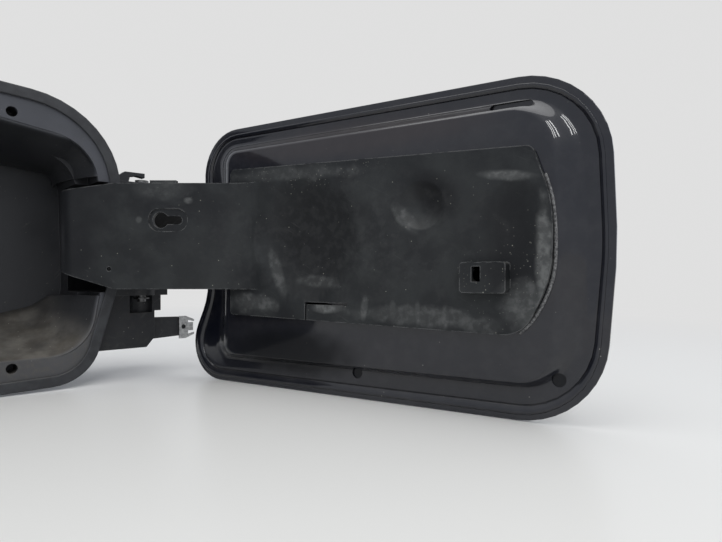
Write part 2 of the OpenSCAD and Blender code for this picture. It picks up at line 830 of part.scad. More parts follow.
// The arm's return to the pin is as high as the knuckle
module arm_web() {
    difference() {
        intersection() {
            arm_band(0, arm_t, arm_z, arm_top);
            arm_side();
            block([-400, tongue_y0, -60], [400, 90, 60]);
        }
        block([axis_x - 8, tongue_y0, -60], [axis_x + 60, axis_y + 22, knuckle_z]);
        block([axis_x - 8, tongue_y0, knuckle_top], [axis_x + 60, axis_y + 22, 60]);
    }
}

module arm_ribs() {
    intersection() {
        union() {
            arm_band(0, arm_t + rib_d, arm_z, arm_z + 2.5);
            arm_band(0, arm_t + rib_d, arm_top - 2.5, arm_top);
        }
        block([flap_x - arm_root - 8, tongue_y0, -60], [axis_x - 28, 60, 60]);
    }
}

// Places a cut square to the arm's straight stretch, at a distance along it
slope_from = xy(arm_path[1]);
slope_to = xy(arm_path[2]);
slope_dir = unit(slope_to - slope_from);
module on_slope(along, z) {
    translate([slope_from[0] + slope_dir[0] * along, slope_from[1] + slope_dir[1] * along, z])
        rotate([0, 0, atan2(slope_dir[1], slope_dir[0])])
            children();
}

// Places along the slope: a low stop on the upper edge, a small peg hole, the keyhole
stop_at = 41;
peg_at = 79;
keyhole_at = 50;
keyhole_z = 12.9;
module keyhole_cut() {
    on_slope(keyhole_at, keyhole_z) {
        rod_y(0, 0, keyhole_r, -20, 20);
        block([-keyhole_l, -20, -keyhole_w / 2], [0, 20, keyhole_w / 2]);
        rod_y(-keyhole_l, 0, keyhole_w / 2, -20, 20);
        slab(box_outline(-keyhole_l - 5.5, 6.5, -6.5, 6.5, 6), -1, 5);
    }
}

dish_u = 81;
dish_z = 0.5;
dimple_u = 149;
dimple_z = 14;
// Section of a dish of radius r and depth d, from its middle to just over its rim
function dish_line(r, d) =
    concat([[0, -d]], [for (t = [0.2:0.2:1.2]) [r * t, -d * (1 - t * t) / 0.96]]);

module dish_cut(r, d) {
    rotate([-90, 0, 0])
        rotate_extrude($fn = 96)
            polygon(concat(dish_line(r, d), [[0, d * 0.44 / 0.96]]));
}

// The tongue's underside follows the dish at a wall's thickness
dish_wall = 1.8;
module dish_shell(r, d) {
    intersection() {
        rotate([-90, 0, 0])
            rotate_extrude($fn = 96)
                translate([0, -dish_wall])
                    polygon(concat(dish_line(r, d), [[0, d * 0.44 / 0.96]]));
        translate([0, -0.5, 0])
            rod_y(0, 0, r, -dish_wall - d - cut, 0);
    }
}

module at_dish() {
    translate([flap_x - dish_u, tongue_y1, dish_z])
        children();
}

module at_dimple() {
    translate([flap_x - dimple_u, tongue_y1, dimple_z])
        children();
}

// Upright finger hollow at the tongue's tip, turned round an axis above the face
scoop_r = (scoop_w * scoop_w + scoop_d * scoop_d) / (2 * scoop_d);
scoop_steps = [-1.1, -0.9, -0.7, -0.45, 0.45, 0.7, 0.9, 1.1];
module scoop_cut() {
    translate([flap_x - scoop_u, tongue_y1 - scoop_d + scoop_r, scoop_v - neck_h])
        rotate_extrude($fn = 180)
            polygon(concat(
                [[0, scoop_steps[0] * scoop_h / 2]],
                [for (t = scoop_steps) [scoop_r - scoop_d * pow(t, 4), t * scoop_h / 2]],
                [[0, scoop_steps[7] * scoop_h / 2]]));
}

catch_rise = 5;
catch_x0 = lock_x - 13;
catch_x1 = lock_x + 7.5;
catch_low = lock_z - 8.2;
catch_high = lock_z + 5.2;
module catch_box() {
    slab(box_outline(catch_x0, catch_x1, catch_low, catch_high, 1.5),
        tongue_y0, tongue_y1 + catch_rise);
}

slot_half_w = shank_r + 0.7;
slot_half_l = head_l / 2 + 0.6;
module catch_cut() {
    block([lock_x - slot_half_w, -30, lock_z - slot_half_l], [lock_x + slot_half_w, 20, lock_z + slot_half_l]);
    rod_y(lock_x, lock_z, head_l / 2 + 1.2, -30, tongue_y1 + catch_rise - 2);
}

// Slit that frees a small tab in the tongue's lower edge
tab_u = 82.5;
tab_l = 25.5;
tab_h = 48;
tab_slit = 1.2;
tab_x1 = flap_x - tab_u;
tab_top = tab_h - neck_h;
module tab_cut() {
    block([tab_x1 - tab_l, tongue_y0 - cut, tab_top], [tab_x1 + tab_slit, tongue_y1 + cut, tab_top + tab_slit]);
    block([tab_x1, tongue_y0 - cut, table_z], [tab_x1 + tab_slit, tongue_y1 + cut, tab_top + tab_slit]);
}

module hinge_arm() {
    color([0.07, 0.07, 0.075])
        opened()
            difference() {
                union() {
                    difference() {
                        slab(rounded(tongue_outline), tongue_y0, tongue_y1);
                        scoop_cut();
                    }
                    at_dish()
                        dish_shell(dish_r, dish_d);
                    at_dimple()
                        dish_shell(dimple_r, dimple_d);
                    catch_box();
                    arm_web();
                    arm_ribs();
                    on_slope(stop_at, arm_top - 1)
                        block([0, -arm_t, 0], [15, -0.5, 2.6]);
                    translate([axis_x, axis_y, knuckle_z])
                        cylinder(r = knuckle_r, h = knuckle_h);
                }
                at_dish()
                    dish_cut(dish_r, dish_d);
                at_dimple()
                    dish_cut(dimple_r, dimple_d);
                translate([axis_x, axis_y, knuckle_z - cut])
                    cylinder(r = pin_r + run, h = knuckle_h + 2 * cut);
                keyhole_cut();
                on_slope(peg_at, -15)
                    rod_y(0, 0, 1.2, -20, 20);
                catch_cut();
                tab_cut();
            }
}

// Barrel whose wall gives the flap its crown; depth is measured in from the outer face
crown_r = (pow(flap_h / 2, 2) + pow(crown, 2)) / (2 * crown);
flap_mid = flap_lift + flap_h / 2 - neck_h;
skin_y = hem_y - 3 * sheet - 2 * seat;
module crowned(depth, x0 = -400) {
    translate([x0, skin_y - crown + crown_r, flap_mid])
        rotate([0, 90, 0])
            cylinder(r = crown_r - depth, h = 800, $fn = 360);
}

// Sheet that follows the crown between two depths, inside an outline
module crowned_sheet(points, d0, d1) {
    difference() {
        intersection() {
            slab(points, hem_y - 20, hem_y + 20);
            crowned(d0);
        }
        crowned(d1, -500);
    }
}

module outer_skin() {
    d = 3 * sheet + 2 * seat;
    color([0.02, 0.024, 0.04])
        opened() {
            crowned_sheet(rounded(flap_outline), 0, sheet);
            difference() {
                crowned_sheet(rounded(flap_outline), sheet - 0.01, d);
                slab(rounded(inset(flap_outline, sheet)), -60, 60);
            }
            difference() {
                crowned_sheet(rounded(flap_outline), d - sheet, d);
                slab(rounded(inset(flap_outline, hem_w)), -60, 60);
            }
        }
}

// Foot and flat top of the inner panel's raised field
field_y = tongue_y0 - seat;
foot_low = flap_lift + gutter_low;
foot_high = flap_lift + flap_h - gutter_top;
foot_outline = placed([
    [gutter_hinge - 2.7, foot_high, 14],
    [flap_l - 2.7 - gutter_end, foot_high, 28],
    [flap_l - gutter_end, flap_h / 2, 150],
    [flap_l - 5.5 - gutter_end, foot_low, 26],
    [gutter_hinge - 5.5, foot_low, 10]], flap_x);

top_end = flap_l - gutter_end - slope_end;
top_outline = placed([
    [gutter_hinge - 2.7 + slope_hinge, foot_high - slope_top, 6],
    [top_end - 5, foot_high - slope_top, 18],
    [top_end + 0.2, flap_h / 2 + 5, 80],
    [top_end - 3.5, foot_low + slope_low, 14],
    [gutter_hinge - 4 + slope_hinge, foot_low + slope_low, 6]], flap_x);

// Raised field of the inner panel, drawn smaller by t for its inner side
module field(t) {
    hull() {
        slab(rounded(inset(foot_outline, t), 15), skin_y + sheet + seat - crown - t, skin_y + sheet + 2 * seat + 0.2);
        slab(rounded(inset(top_outline, t), 15), field_y - 1 - t, field_y - t);
    }
}

module inner_panel() {
    color([0.02, 0.024, 0.04])
        opened()
            difference() {
                union() {
                    crowned_sheet(rounded(inset(flap_outline, sheet + seat)), sheet + seat, 2 * sheet + seat);
                    intersection() {
                        field(0);
                        crowned(sheet + seat);
                    }
                }
                intersection() {
                    field(sheet);
                    crowned(0);
                }
                rod_y(flap_x - dish_u, dish_z, dish_r + 2.6, -60, 60);
                rod_y(flap_x - dimple_u, dimple_z, dimple_r + 2.6, -60, 60);
                block([lock_x - 7, -60, lock_z - 7], [lock_x + 7, 60, lock_z + 7]);
                rod_y(flap_x - 109, 13 - neck_h, drip_r, -60, 60);
                rod_y(flap_x - 209, 19 - neck_h, drip_r, -60, 60);
                slab(box_outline(flap_x - 198.6, flap_x - 179.7, 136.3 - neck_h, 139.9 - neck_h, 1.7), -60, 60);
            }
}

filler_pot();
rim_seal();
neck_seal();
hinge_pin();
pin_clip();
flap_spring();
spring_clip();
actuator_gasket();
actuator_case();
actuator_cover();
actuator_screws();
terminals();
lock_motor();
lock_spring();
lock_seal();
lock_sleeve();
lock_pin();
hinge_arm();
inner_panel();
outer_skin();
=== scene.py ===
# %% [markdown]
# # A used filler flap with its housing
# The imported model holds every solid at its real size and place. This lesson dresses it: the
# moulded pieces get softened edges, the flap's inner panel is pressed anew from a flat sheet's
# outlines, and each finish gets the wear and dust of a used part, along with painted shade and
# painted highlights where the light falls.

# %% The imported model
import math

import bmesh
import bpy
from mathutils import Matrix, Vector


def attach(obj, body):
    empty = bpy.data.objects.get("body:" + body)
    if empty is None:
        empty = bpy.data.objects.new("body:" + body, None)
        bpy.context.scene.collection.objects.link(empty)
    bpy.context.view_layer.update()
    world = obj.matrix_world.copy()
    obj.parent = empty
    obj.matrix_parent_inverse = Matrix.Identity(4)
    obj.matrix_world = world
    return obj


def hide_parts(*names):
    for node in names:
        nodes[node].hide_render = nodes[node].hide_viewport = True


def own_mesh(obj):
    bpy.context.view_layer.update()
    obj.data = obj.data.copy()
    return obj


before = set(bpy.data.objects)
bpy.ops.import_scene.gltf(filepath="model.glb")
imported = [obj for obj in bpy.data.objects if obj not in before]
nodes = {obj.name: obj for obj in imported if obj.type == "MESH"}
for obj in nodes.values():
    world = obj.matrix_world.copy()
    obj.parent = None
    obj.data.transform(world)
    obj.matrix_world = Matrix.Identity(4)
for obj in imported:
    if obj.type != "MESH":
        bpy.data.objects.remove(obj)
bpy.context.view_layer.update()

# %% [markdown]
# ## Places that several steps share
# The flap is drawn closed and then turned open round its pin, so a place on the flap is easiest
# to give by its distance from the hinge-side edge and its height above the table.

# %% Shared places
MM = 0.001
IN_MM = 1000.0
PIN = Vector((145.0, 9.0, 0.0)) * MM
OPEN = math.radians(107.0)
FLAP_EDGE = 107.0
TABLE_DROP = 82.0
FLAP_EDGE_X = FLAP_EDGE * MM
TABLE_Z = -TABLE_DROP * MM
TURN_OPEN = Matrix.Translation(PIN) @ Matrix.Rotation(OPEN, 4, "Z") @ Matrix.Translation(-PIN)


def on_flap(along_mm, depth_mm, height_mm):
    """A place on the open flap, given where it lies on the closed one."""
    closed_place = Vector((FLAP_EDGE_X - along_mm * MM, depth_mm * MM, TABLE_Z + height_mm * MM))
    return TURN_OPEN @ closed_place


print("flap's free end", [round(v, 4) for v in on_flap(231, -8, 75)])

# %% [markdown]
# ## Camera
# The photograph was taken from close to the table, so the camera stands low and level and a
# small shift puts the horizon where the photograph has it.

# %% Camera
camera_data = bpy.data.cameras.new("photo_camera")
camera = bpy.data.objects.new("photo_camera", camera_data)
bpy.context.scene.collection.objects.link(camera)
camera.location = (0.0185, -0.3371, -0.0184)
camera.rotation_euler = (math.radians(90.0), 0.0, math.radians(-42.0))
camera_data.sensor_width = 36.0
camera_data.lens = 27.17
camera_data.shift_y = 0.0055
camera_data.clip_start = 0.01
bpy.context.scene.camera = camera
print("lens", camera_data.lens)

# %% [markdown]
# ## Building blocks for materials
# Every finish is a small network of nodes. A few helpers add a node, fill its inputs and hand on
# what it gives out. A node group keeps an effect such as dust or scratches in one place, so that
# several materials can share it; it gives out only masks, places and normals, and each
# material decides what to do with them.


# %% Helpers for nodes
def put(tree, kind, sockets=None, **settings):
    """Add a node, set its options and fill or join its inputs."""
    added = tree.nodes.new(kind)
    for option, value in settings.items():
        setattr(added, option, value)
    for socket, value in (sockets or {}).items():
        if isinstance(value, bpy.types.NodeSocket):
            tree.links.new(value, added.inputs[socket])
        else:
            added.inputs[socket].default_value = value
    return added


def new_material(name):
    """A material with an empty node tree, an output and a Principled shader."""
    material = bpy.data.materials.new(name)
    material.use_nodes = True
    tree = material.node_tree
    tree.nodes.clear()
    shader = put(tree, "ShaderNodeBsdfPrincipled")
    put(tree, "ShaderNodeOutputMaterial", {"Surface": shader.outputs["BSDF"]})
    return material, tree, shader


def new_effect(name, output, **inputs):
    """A node group with one output and its inputs, given by name and usual value."""
    effect = bpy.data.node_groups.new(name, "ShaderNodeTree")
    for label, value in inputs.items():
        kind = "NodeSocketFloat" if isinstance(value, float) else "NodeSocketVector"
        effect.interface.new_socket(label, in_out="INPUT", socket_type=kind).default_value = value
    label, kind = output
    effect.interface.new_socket(label, in_out="OUTPUT", socket_type=kind)
    given = effect.nodes.new("NodeGroupInput")
    result = effect.nodes.new("NodeGroupOutput")
    return effect, given.outputs, result.inputs


def use(tree, effect, **sockets):
    """What an effect gives out in a material."""
    return put(tree, "ShaderNodeGroup", sockets, node_tree=effect).outputs[0]


print("node helpers ready")


# %% Helpers for numbers
def work_out(tree, operation, *values, clamp=False):
    """A number worked out from others."""
    inputs = dict(enumerate(values))
    return put(tree, "ShaderNodeMath", inputs, operation=operation, use_clamp=clamp).outputs[0]


def work_out_vector(tree, operation, *values):
    """A vector worked out from others, or their length or likeness."""
    added = put(tree, "ShaderNodeVectorMath", dict(enumerate(values)), operation=operation)
    return added.outputs["Value" if operation in ("LENGTH", "DOT_PRODUCT") else "Vector"]


def parts_of(tree, vector):
    """The three numbers of a place or a direction."""
    return put(tree, "ShaderNodeSeparateXYZ", {0: vector}).outputs


def rise(tree, value, start, end, smooth=True, lowest=0.0):
    """A mask that grows from its lowest value to 1 while a value goes from start to end."""
    return put(
        tree,
        "ShaderNodeMapRange",
        {"Value": value, "From Min": start, "From Max": end, "To Min": lowest},
        interpolation_type="SMOOTHSTEP" if smooth else "LINEAR",
    ).outputs[0]


def noise(tree, places, scale, detail, roughness=0.5):
    """Uneven lumps with values round a half."""
    inputs = {"Vector": places, "Scale": scale, "Detail": detail, "Roughness": roughness}
    return put(tree, "ShaderNodeTexNoise", inputs).outputs[0]


print("number helpers ready")


# %% Helpers for masks and colours
def times(tree, first, second):
    """Two masks multiplied."""
    return work_out(tree, "MULTIPLY", first, second)


def most_of(tree, first, second):
    """The stronger of two masks at each place."""
    return work_out(tree, "MAXIMUM", first, second)


def tint(tree, mask, under, over):
    """One colour laid over another where a mask is strong."""
    return put(tree, "ShaderNodeMix", {0: mask, 6: under, 7: over}, data_type="RGBA").outputs[2]


def blend_values(tree, mask, low, high):
    """A value that goes from low to high with a mask."""
    return put(tree, "ShaderNodeMix", {0: mask, 2: low, 3: high}, data_type="FLOAT").outputs[0]


def join_up(tree, shader, colour, rough, relief):
    """Send a finish's colour, roughness and relief to its shader."""
    tree.links.new(colour, shader.inputs["Base Color"])
    tree.links.new(rough, shader.inputs["Roughness"])
    tree.links.new(relief, shader.inputs["Normal"])


print("mask helpers ready")

# %% [markdown]
# ## Where a pattern sits
# Patterns are placed in millimetres. For the pot these are the object's own coordinates. For
# the flap they are turned back to the closed place, so that the first number is the distance
# from the hinge-side edge and the second the height above the table.

# %% Places in millimetres
ORIGIN = (0.0, 0.0, 0.0)
PLACES = ("Places", "NodeSocketVector")
MASK = ("Mask", "NodeSocketFloat")
NORMAL = ("Normal", "NodeSocketVector")

pot_places, _, result = new_effect("pot_places", PLACES)
own = put(pot_places, "ShaderNodeTexCoord").outputs["Object"]
in_mm = put(pot_places, "ShaderNodeMapping", {"Vector": own, "Scale": (IN_MM, IN_MM, IN_MM)})
pot_places.links.new(in_mm.outputs[0], result["Places"])

flap_places, _, result = new_effect("flap_places", PLACES)
own = put(flap_places, "ShaderNodeTexCoord").outputs["Object"]
turn_back = Matrix.Rotation(-OPEN, 4, "Z")
shift = (PIN - turn_back @ PIN) * IN_MM
closed = put(
    flap_places,
    "ShaderNodeMapping",
    {
        "Vector": own,
        "Location": shift,
        "Rotation": (0, 0, -OPEN),
        "Scale": (IN_MM, IN_MM, IN_MM),
    },
)
across, deep, up = parts_of(flap_places, closed.outputs[0])
along = work_out(flap_places, "SUBTRACT", FLAP_EDGE, across)
height = work_out(flap_places, "ADD", up, TABLE_DROP)
joined = put(flap_places, "ShaderNodeCombineXYZ", {"X": along, "Y": height, "Z": deep})
flap_places.links.new(joined.outputs[0], result["Places"])
print("pin shift in mm", [round(v, 2) for v in shift])

# %% [markdown]
# ## Shared effects
# Clouds vary a finish softly. Specks are single grains of dust. Scratches are clouds that are
# stretched until only thin streaks are left. Patches are soft-edged spots at a chosen place.
# Settled dust lies where a surface faces up. Rubbed edges are lightened both as wear and as a
# painted edge highlight; they are found by comparing the surface's direction with a rounded
# version of itself.

# %% Clouds
clouds, given, result = new_effect(
    "clouds", MASK, Places=ORIGIN, Scale=0.05, Low=0.4, High=0.6
)
lumps = noise(clouds, given["Places"], given["Scale"], 5.0, 0.6)
clouds.links.new(rise(clouds, lumps, given["Low"], given["High"]), result["Mask"])
print(clouds.name, "nodes", len(clouds.nodes))

# %% Specks
specks, given, result = new_effect(
    "specks", MASK, Places=ORIGIN, Scale=0.6, Size=0.16, Share=0.2
)
cells = put(specks, "ShaderNodeTexVoronoi", {"Vector": given["Places"], "Scale": given["Scale"]})
grain = rise(specks, cells.outputs["Distance"], given["Size"], 0.0)
chance = put(specks, "ShaderNodeSeparateColor", {0: cells.outputs["Color"]}).outputs[0]
chosen = work_out(specks, "LESS_THAN", chance, given["Share"])
specks.links.new(times(specks, grain, chosen), result["Mask"])
print(specks.name, "nodes", len(specks.nodes))

# %% Scratches
STREAK_STRETCH = (0.035, 1.0, 0.3)
STREAK_SHARPNESS = 14.0
scratches, given, result = new_effect(
    "scratches", MASK, Places=ORIGIN, Turn=(0.0, 0.0, 0.3), Fineness=1.2, Threshold=0.62
)
turned = put(scratches, "ShaderNodeMapping", {"Vector": given["Places"], "Rotation": given["Turn"]})
drawn = work_out_vector(scratches, "MULTIPLY", turned.outputs[0], STREAK_STRETCH)
streaks = noise(scratches, drawn, given["Fineness"], 3.0)
thin = work_out(scratches, "SUBTRACT", streaks, given["Threshold"])
sharp = work_out(scratches, "MULTIPLY", thin, STREAK_SHARPNESS, clamp=True)
broken = noise(scratches, given["Places"], 0.06, 2.0)
gate = rise(scratches, broken, 0.45, 0.6, smooth=False)
scratches.links.new(times(scratches, sharp, gate), result["Mask"])
print(scratches.name, "nodes", len(scratches.nodes))

# %% Patches
patch, given, result = new_effect(
    "patch", MASK, Places=ORIGIN, Centre=ORIGIN, Reach=(10.0, 10.0, 1000.0), Ragged=0.5, Turn=0.0
)
away = work_out_vector(patch, "SUBTRACT", given["Places"], given["Centre"])
swung = put(
    patch,
    "ShaderNodeVectorRotate",
    {"Vector": away, "Angle": given["Turn"]},
    rotation_type="Z_AXIS",
)
scaled = work_out_vector(patch, "DIVIDE", swung.outputs[0], given["Reach"])
far = work_out_vector(patch, "LENGTH", scaled)
torn = noise(patch, given["Places"], 0.12, 4.0)
offset = work_out(patch, "SUBTRACT", torn, 0.5)
spread = work_out(patch, "MULTIPLY_ADD", offset, given["Ragged"], far)
patch.links.new(rise(patch, spread, 1.0, 0.35), result["Mask"])
print(patch.name, "nodes", len(patch.nodes))

# %% Settled dust
settled, given, result = new_effect("settled_dust", MASK, Places=ORIGIN, Scale=0.08)
surface = put(settled, "ShaderNodeNewGeometry").outputs
facing = parts_of(settled, surface["Normal"])
upward = rise(settled, facing["Z"], 0.05, 0.9)
lumps = noise(settled, given["Places"], given["Scale"], 6.0, 0.65)
uneven = rise(settled, lumps, 0.25, 0.6, smooth=False, lowest=0.35)
settled.links.new(times(settled, upward, uneven), result["Mask"])
print(settled.name, "nodes", len(settled.nodes))

# %% Rubbed edges and painted edge highlights
EDGE_MARK_WIDTH = 0.0008
rubbed_and_highlit, given, result = new_effect("rubbed_and_highlit_edges", MASK, Places=ORIGIN, Amount=2.0)
surface = put(rubbed_and_highlit, "ShaderNodeNewGeometry").outputs
rounder = put(rubbed_and_highlit, "ShaderNodeBevel", {"Radius": EDGE_MARK_WIDTH}, samples=4).outputs[0]
likeness = work_out_vector(rubbed_and_highlit, "DOT_PRODUCT", surface["Normal"], rounder)
edge = rise(rubbed_and_highlit, likeness, 0.995, 0.85, smooth=False)
worn = noise(rubbed_and_highlit, given["Places"], 0.25, 4.0)
uneven = rise(rubbed_and_highlit, worn, 0.4, 0.6, smooth=False)
strength = times(rubbed_and_highlit, uneven, given["Amount"])
rubbed_and_highlit.links.new(work_out(rubbed_and_highlit, "MULTIPLY", edge, strength, clamp=True), result["Mask"])
print(rubbed_and_highlit.name, "nodes", len(rubbed_and_highlit.nodes))

# %% Surface grain
grained, given, result = new_effect(
    "surface_grain", NORMAL, Places=ORIGIN, Scale=1.5, Depth=0.00003
)
pits = noise(grained, given["Places"], given["Scale"], 6.0, 0.7)
relief = put(
    grained, "ShaderNodeBump", {"Height": pits, "Distance": given["Depth"], "Strength": 1.0}
)
grained.links.new(relief.outputs[0], result["Normal"])
print("effects", len(bpy.data.node_groups))

# %% [markdown]
# ## Table, background and light
# A pale table carries the part. It is slightly glossy, so the part shows in it. Away from the
# part it fades into the background's colour, so that no horizon shows. The lamps stay soft, as
# in a workshop with a wide lamp overhead and a window on the right. Three tubes in front give
# the lacquer its streaks.


# %% Helpers for the surroundings
def new_piece(name, builder, smooth=False):
    """An object at the origin whose mesh comes out of a bmesh."""
    for face in builder.faces:
        face.smooth = smooth
    mesh = bpy.data.meshes.new(name)
    builder.to_mesh(mesh)
    builder.free()
    piece = bpy.data.objects.new(name, mesh)
    bpy.context.scene.collection.objects.link(piece)
    return piece


def looking_rays(tree):
    """The kinds of rays, and a mask of those that look at the background."""
    path = put(tree, "ShaderNodeLightPath").outputs
    glimpsed = work_out(tree, "ADD", path["Is Glossy Ray"], path["Is Transmission Ray"])
    return path, most_of(tree, path["Is Camera Ray"], glimpsed)


# %% Table
TABLE_HALF = 4.0
TABLE_GAP = 0.0001
FADE_START, FADE_END = 0.35, 0.95
BACKDROP = (0.742, 0.742, 0.742, 1)

table_builder = bmesh.new()
bmesh.ops.create_grid(table_builder, x_segments=1, y_segments=1, size=TABLE_HALF)
bmesh.ops.translate(table_builder, verts=table_builder.verts, vec=(0, 0, TABLE_Z - TABLE_GAP))
table = new_piece("table_top", table_builder)
table_paint, tree, shader = new_material("pale_table")
shader.inputs["Base Color"].default_value = (0.71, 0.708, 0.692, 1)
shader.inputs["Roughness"].default_value = 0.32
shader.inputs["Specular IOR Level"].default_value = 0.22
path, shown = looking_rays(tree)
own = put(tree, "ShaderNodeTexCoord").outputs["Object"]
distant = rise(tree, work_out_vector(tree, "LENGTH", own), FADE_START, FADE_END)
glow = put(tree, "ShaderNodeEmission", {"Color": BACKDROP})
faded = put(
    tree,
    "ShaderNodeMixShader",
    {0: times(tree, distant, shown), 1: shader.outputs["BSDF"], 2: glow.outputs[0]},
)
ending = next(node for node in tree.nodes if node.type == "OUTPUT_MATERIAL")
tree.links.new(faded.outputs[0], ending.inputs["Surface"])
table.data.materials.append(table_paint)
print("table at", TABLE_Z)

# %% Background
bpy.context.scene.view_settings.view_transform = "Standard"
world = bpy.data.worlds.new("soft_room")
bpy.context.scene.world = world
world.use_nodes = True
room = world.node_tree
room.nodes.clear()
path, shown = looking_rays(room)
backdrop = tint(room, path["Is Camera Ray"], (0.63, 0.655, 0.705, 1), BACKDROP)
seen = put(room, "ShaderNodeBackground", {"Color": backdrop})
direction = put(room, "ShaderNodeTexCoord").outputs["Generated"]
upper = rise(room, parts_of(room, direction)["Z"], -0.05, 0.75)
walls = tint(room, upper, (0.36, 0.39, 0.48, 1), (0.62, 0.63, 0.64, 1))
lit = put(room, "ShaderNodeBackground", {"Color": walls})
chooser = put(room, "ShaderNodeMixShader", {0: shown, 1: lit.outputs[0], 2: seen.outputs[0]})
put(room, "ShaderNodeOutputWorld", {"Surface": chooser.outputs[0]})
print("background nodes", len(room.nodes))


# %% Lamps
def soft_lamp(name, place, aim, size, power):
    """A wide lamp that points at a place on the part."""
    data = bpy.data.lights.new(name, "AREA")
    data.shape = "RECTANGLE"
    data.size, data.size_y = size
    data.energy = power
    lamp = bpy.data.objects.new(name, data)
    bpy.context.scene.collection.objects.link(lamp)
    lamp.location = place
    direction = Vector(aim) - Vector(place)
    lamp.rotation_euler = direction.to_track_quat("-Z", "Y").to_euler()


TUBE_STEP = 0.24
soft_lamp("ceiling_lamp", (0.0, -0.25, 1.4), (0.1, -0.05, 0.0), (1.6, 1.2), 12.5)
soft_lamp("right_window", (1.6, -0.3, 0.9), (0.15, -0.1, 0.0), (0.7, 1.0), 1.2)
for index in range(3):
    place = (-0.68 + TUBE_STEP * index, -1.25, 0.95)
    soft_lamp(f"front_tube_{index + 1}", place, (0.12, -0.1, 0.0), (0.05, 0.6), 2.0)
print("lamps", len(bpy.data.lights))

# %% [markdown]
# ## Softened edges
# A real moulding or pressing has no knife edge: each edge is rounded by a few tenths of a
# millimetre and catches a line of light. The solids' meshes are loose triangles, so a copy is
# merged and its flat faces are joined first. Then a Bevel modifier rounds what is sharper than
# a set angle, and Weighted Normal keeps the flat faces flat.

# %% A helper that softens a solid's edges
MERGE = 0.00002
FLAT_ANGLE = math.radians(0.6)
FLAT_WEIGHT = 60


def soft_edged(node, body, width_mm, angle=30.0, steps=2):
    """A copy of a solid with rounded edges, riding on the solid's body in its place."""
    builder = bmesh.new()
    builder.from_mesh(nodes[node].data)
    bmesh.ops.remove_doubles(builder, verts=builder.verts, dist=MERGE)
    bmesh.ops.dissolve_limit(
        builder, angle_limit=FLAT_ANGLE, verts=builder.verts, edges=builder.edges
    )
    piece = new_piece(node + "_finished", builder, smooth=True)
    bevel = piece.modifiers.new("rounded_edges", "BEVEL")
    bevel.width = width_mm * MM
    bevel.segments = steps
    bevel.limit_method = "ANGLE"
    bevel.angle_limit = math.radians(angle)
    bevel.miter_outer = "MITER_ARC"
    bevel.use_clamp_overlap = True
    weighted = piece.modifiers.new("flat_faces", "WEIGHTED_NORMAL")
    weighted.weight = FLAT_WEIGHT
    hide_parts(node)
    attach(piece, body)
    print(piece.name, "faces before rounding", len(piece.data.polygons))
    return piece


# %% The mouldings
pot = soft_edged("filler_pot", "pot", 0.6, steps=3)
arm = soft_edged("hinge_arm", "flap", 0.6, steps=3)
seal = soft_edged("rim_seal", "pot", 0.7, steps=3)
case = soft_edged("actuator_case", "pot", 0.5)
cover = soft_edged("actuator_cover", "pot", 0.5)

# %% The sheet metal
skin = soft_edged("outer_skin", "flap", 0.45, steps=3)
clip = soft_edged("spring_clip", "pot", 0.15)

# %% [markdown]
# ## Pressed inner panel
# The flap's inner panel is one sheet pressed in a die: a flat gutter along the hem, then a
# soft slope up to the field that carries the tongue. A press can't make a sharp fold, so the
# sheet is modelled as rings. The first ring lies under the hem, each further ring is extruded
# from the last one and moved inwards and up along a curve, and the last ring is filled.


# %% An outline with rounded corners
def rounded_outline(corners, arc=8, run=7):
    """Points round an outline of (along, height, radius) corners, the same number for each."""
    points = []
    for index, (x, y, radius) in enumerate(corners):
        here = Vector((x, y))
        before = Vector(corners[index - 1][:2]) - here
        after = Vector(corners[(index + 1) % len(corners)][:2]) - here
        half = before.angle(after) / 2
        reach = radius / math.tan(half)
        start = here + before.normalized() * reach
        bisector = (before.normalized() + after.normalized()).normalized()
        middle = here + bisector * radius / math.sin(half)
        spoke = start - middle
        whole = spoke.angle_signed(here + after.normalized() * reach - middle)
        for step in range(arc + 1):
            turned = spoke.copy()
            turned.rotate(Matrix.Rotation(-whole * step / arc, 2))
            points.append(middle + turned)
    smooth = []
    size = arc + 1
    for index, point in enumerate(points):
        smooth.append(point)
        if index % size == arc:
            following = points[(index + 1) % len(points)]
            smooth.extend(point.lerp(following, step / run) for step in range(1, run))
    return smooth


HEM = [
    (1.2, 146.3, 24),
    (224.9, 146.3, 34),
    (227.5, 75.2, 150),
    (222.3, 4.1, 33),
    (-18.0, 4.1, 19),
    (3.3, 50, 40),
]
FOOT = [
    (10.3, 141.2, 14),
    (219.3, 141.2, 28),
    (222.0, 75.2, 150),
    (216.5, 13.7, 26),
    (7.5, 13.7, 10),
    (9.0, 50, 40),
]
TOP = [
    (23.8, 134.7, 6),
    (204.0, 134.7, 18),
    (209.2, 80.2, 80),
    (205.5, 17.7, 14),
    (22.5, 17.7, 6),
    (23.3, 50, 40),
]
print("points round the panel", len(rounded_outline(HEM)))

# %% The sheet's depth
SKIN_DEPTH = -13.6
GUTTER_LIFT = 1.7
FIELD_DEPTH = -4.6
CROWN_RADIUS = 939.0
CROWN_HEIGHT = 75.2


def gutter_depth(height):
    """Depth of the gutter, which follows the flap's crown."""
    crown = math.sqrt(CROWN_RADIUS**2 - (height - CROWN_HEIGHT) ** 2)
    return SKIN_DEPTH + GUTTER_LIFT + CROWN_RADIUS - crown


def between(outer, inner, share):
    """The corners that lie some share of the way from one outline to another."""
    return [
        tuple(a + (b - a) * share for a, b in zip(one, other)) for one, other in zip(outer, inner)
    ]


def ring_places(outer, inner, inwards, upwards):
    """Places of a ring between two outlines, raised from the gutter towards the field."""
    places = []
    for along, height in rounded_outline(between(outer, inner, inwards)):
        low = gutter_depth(height)
        places.append(on_flap(along, low + (FIELD_DEPTH - low) * upwards, height))
    return places


print("gutter depth at the middle", round(gutter_depth(CROWN_HEIGHT), 2), "mm")

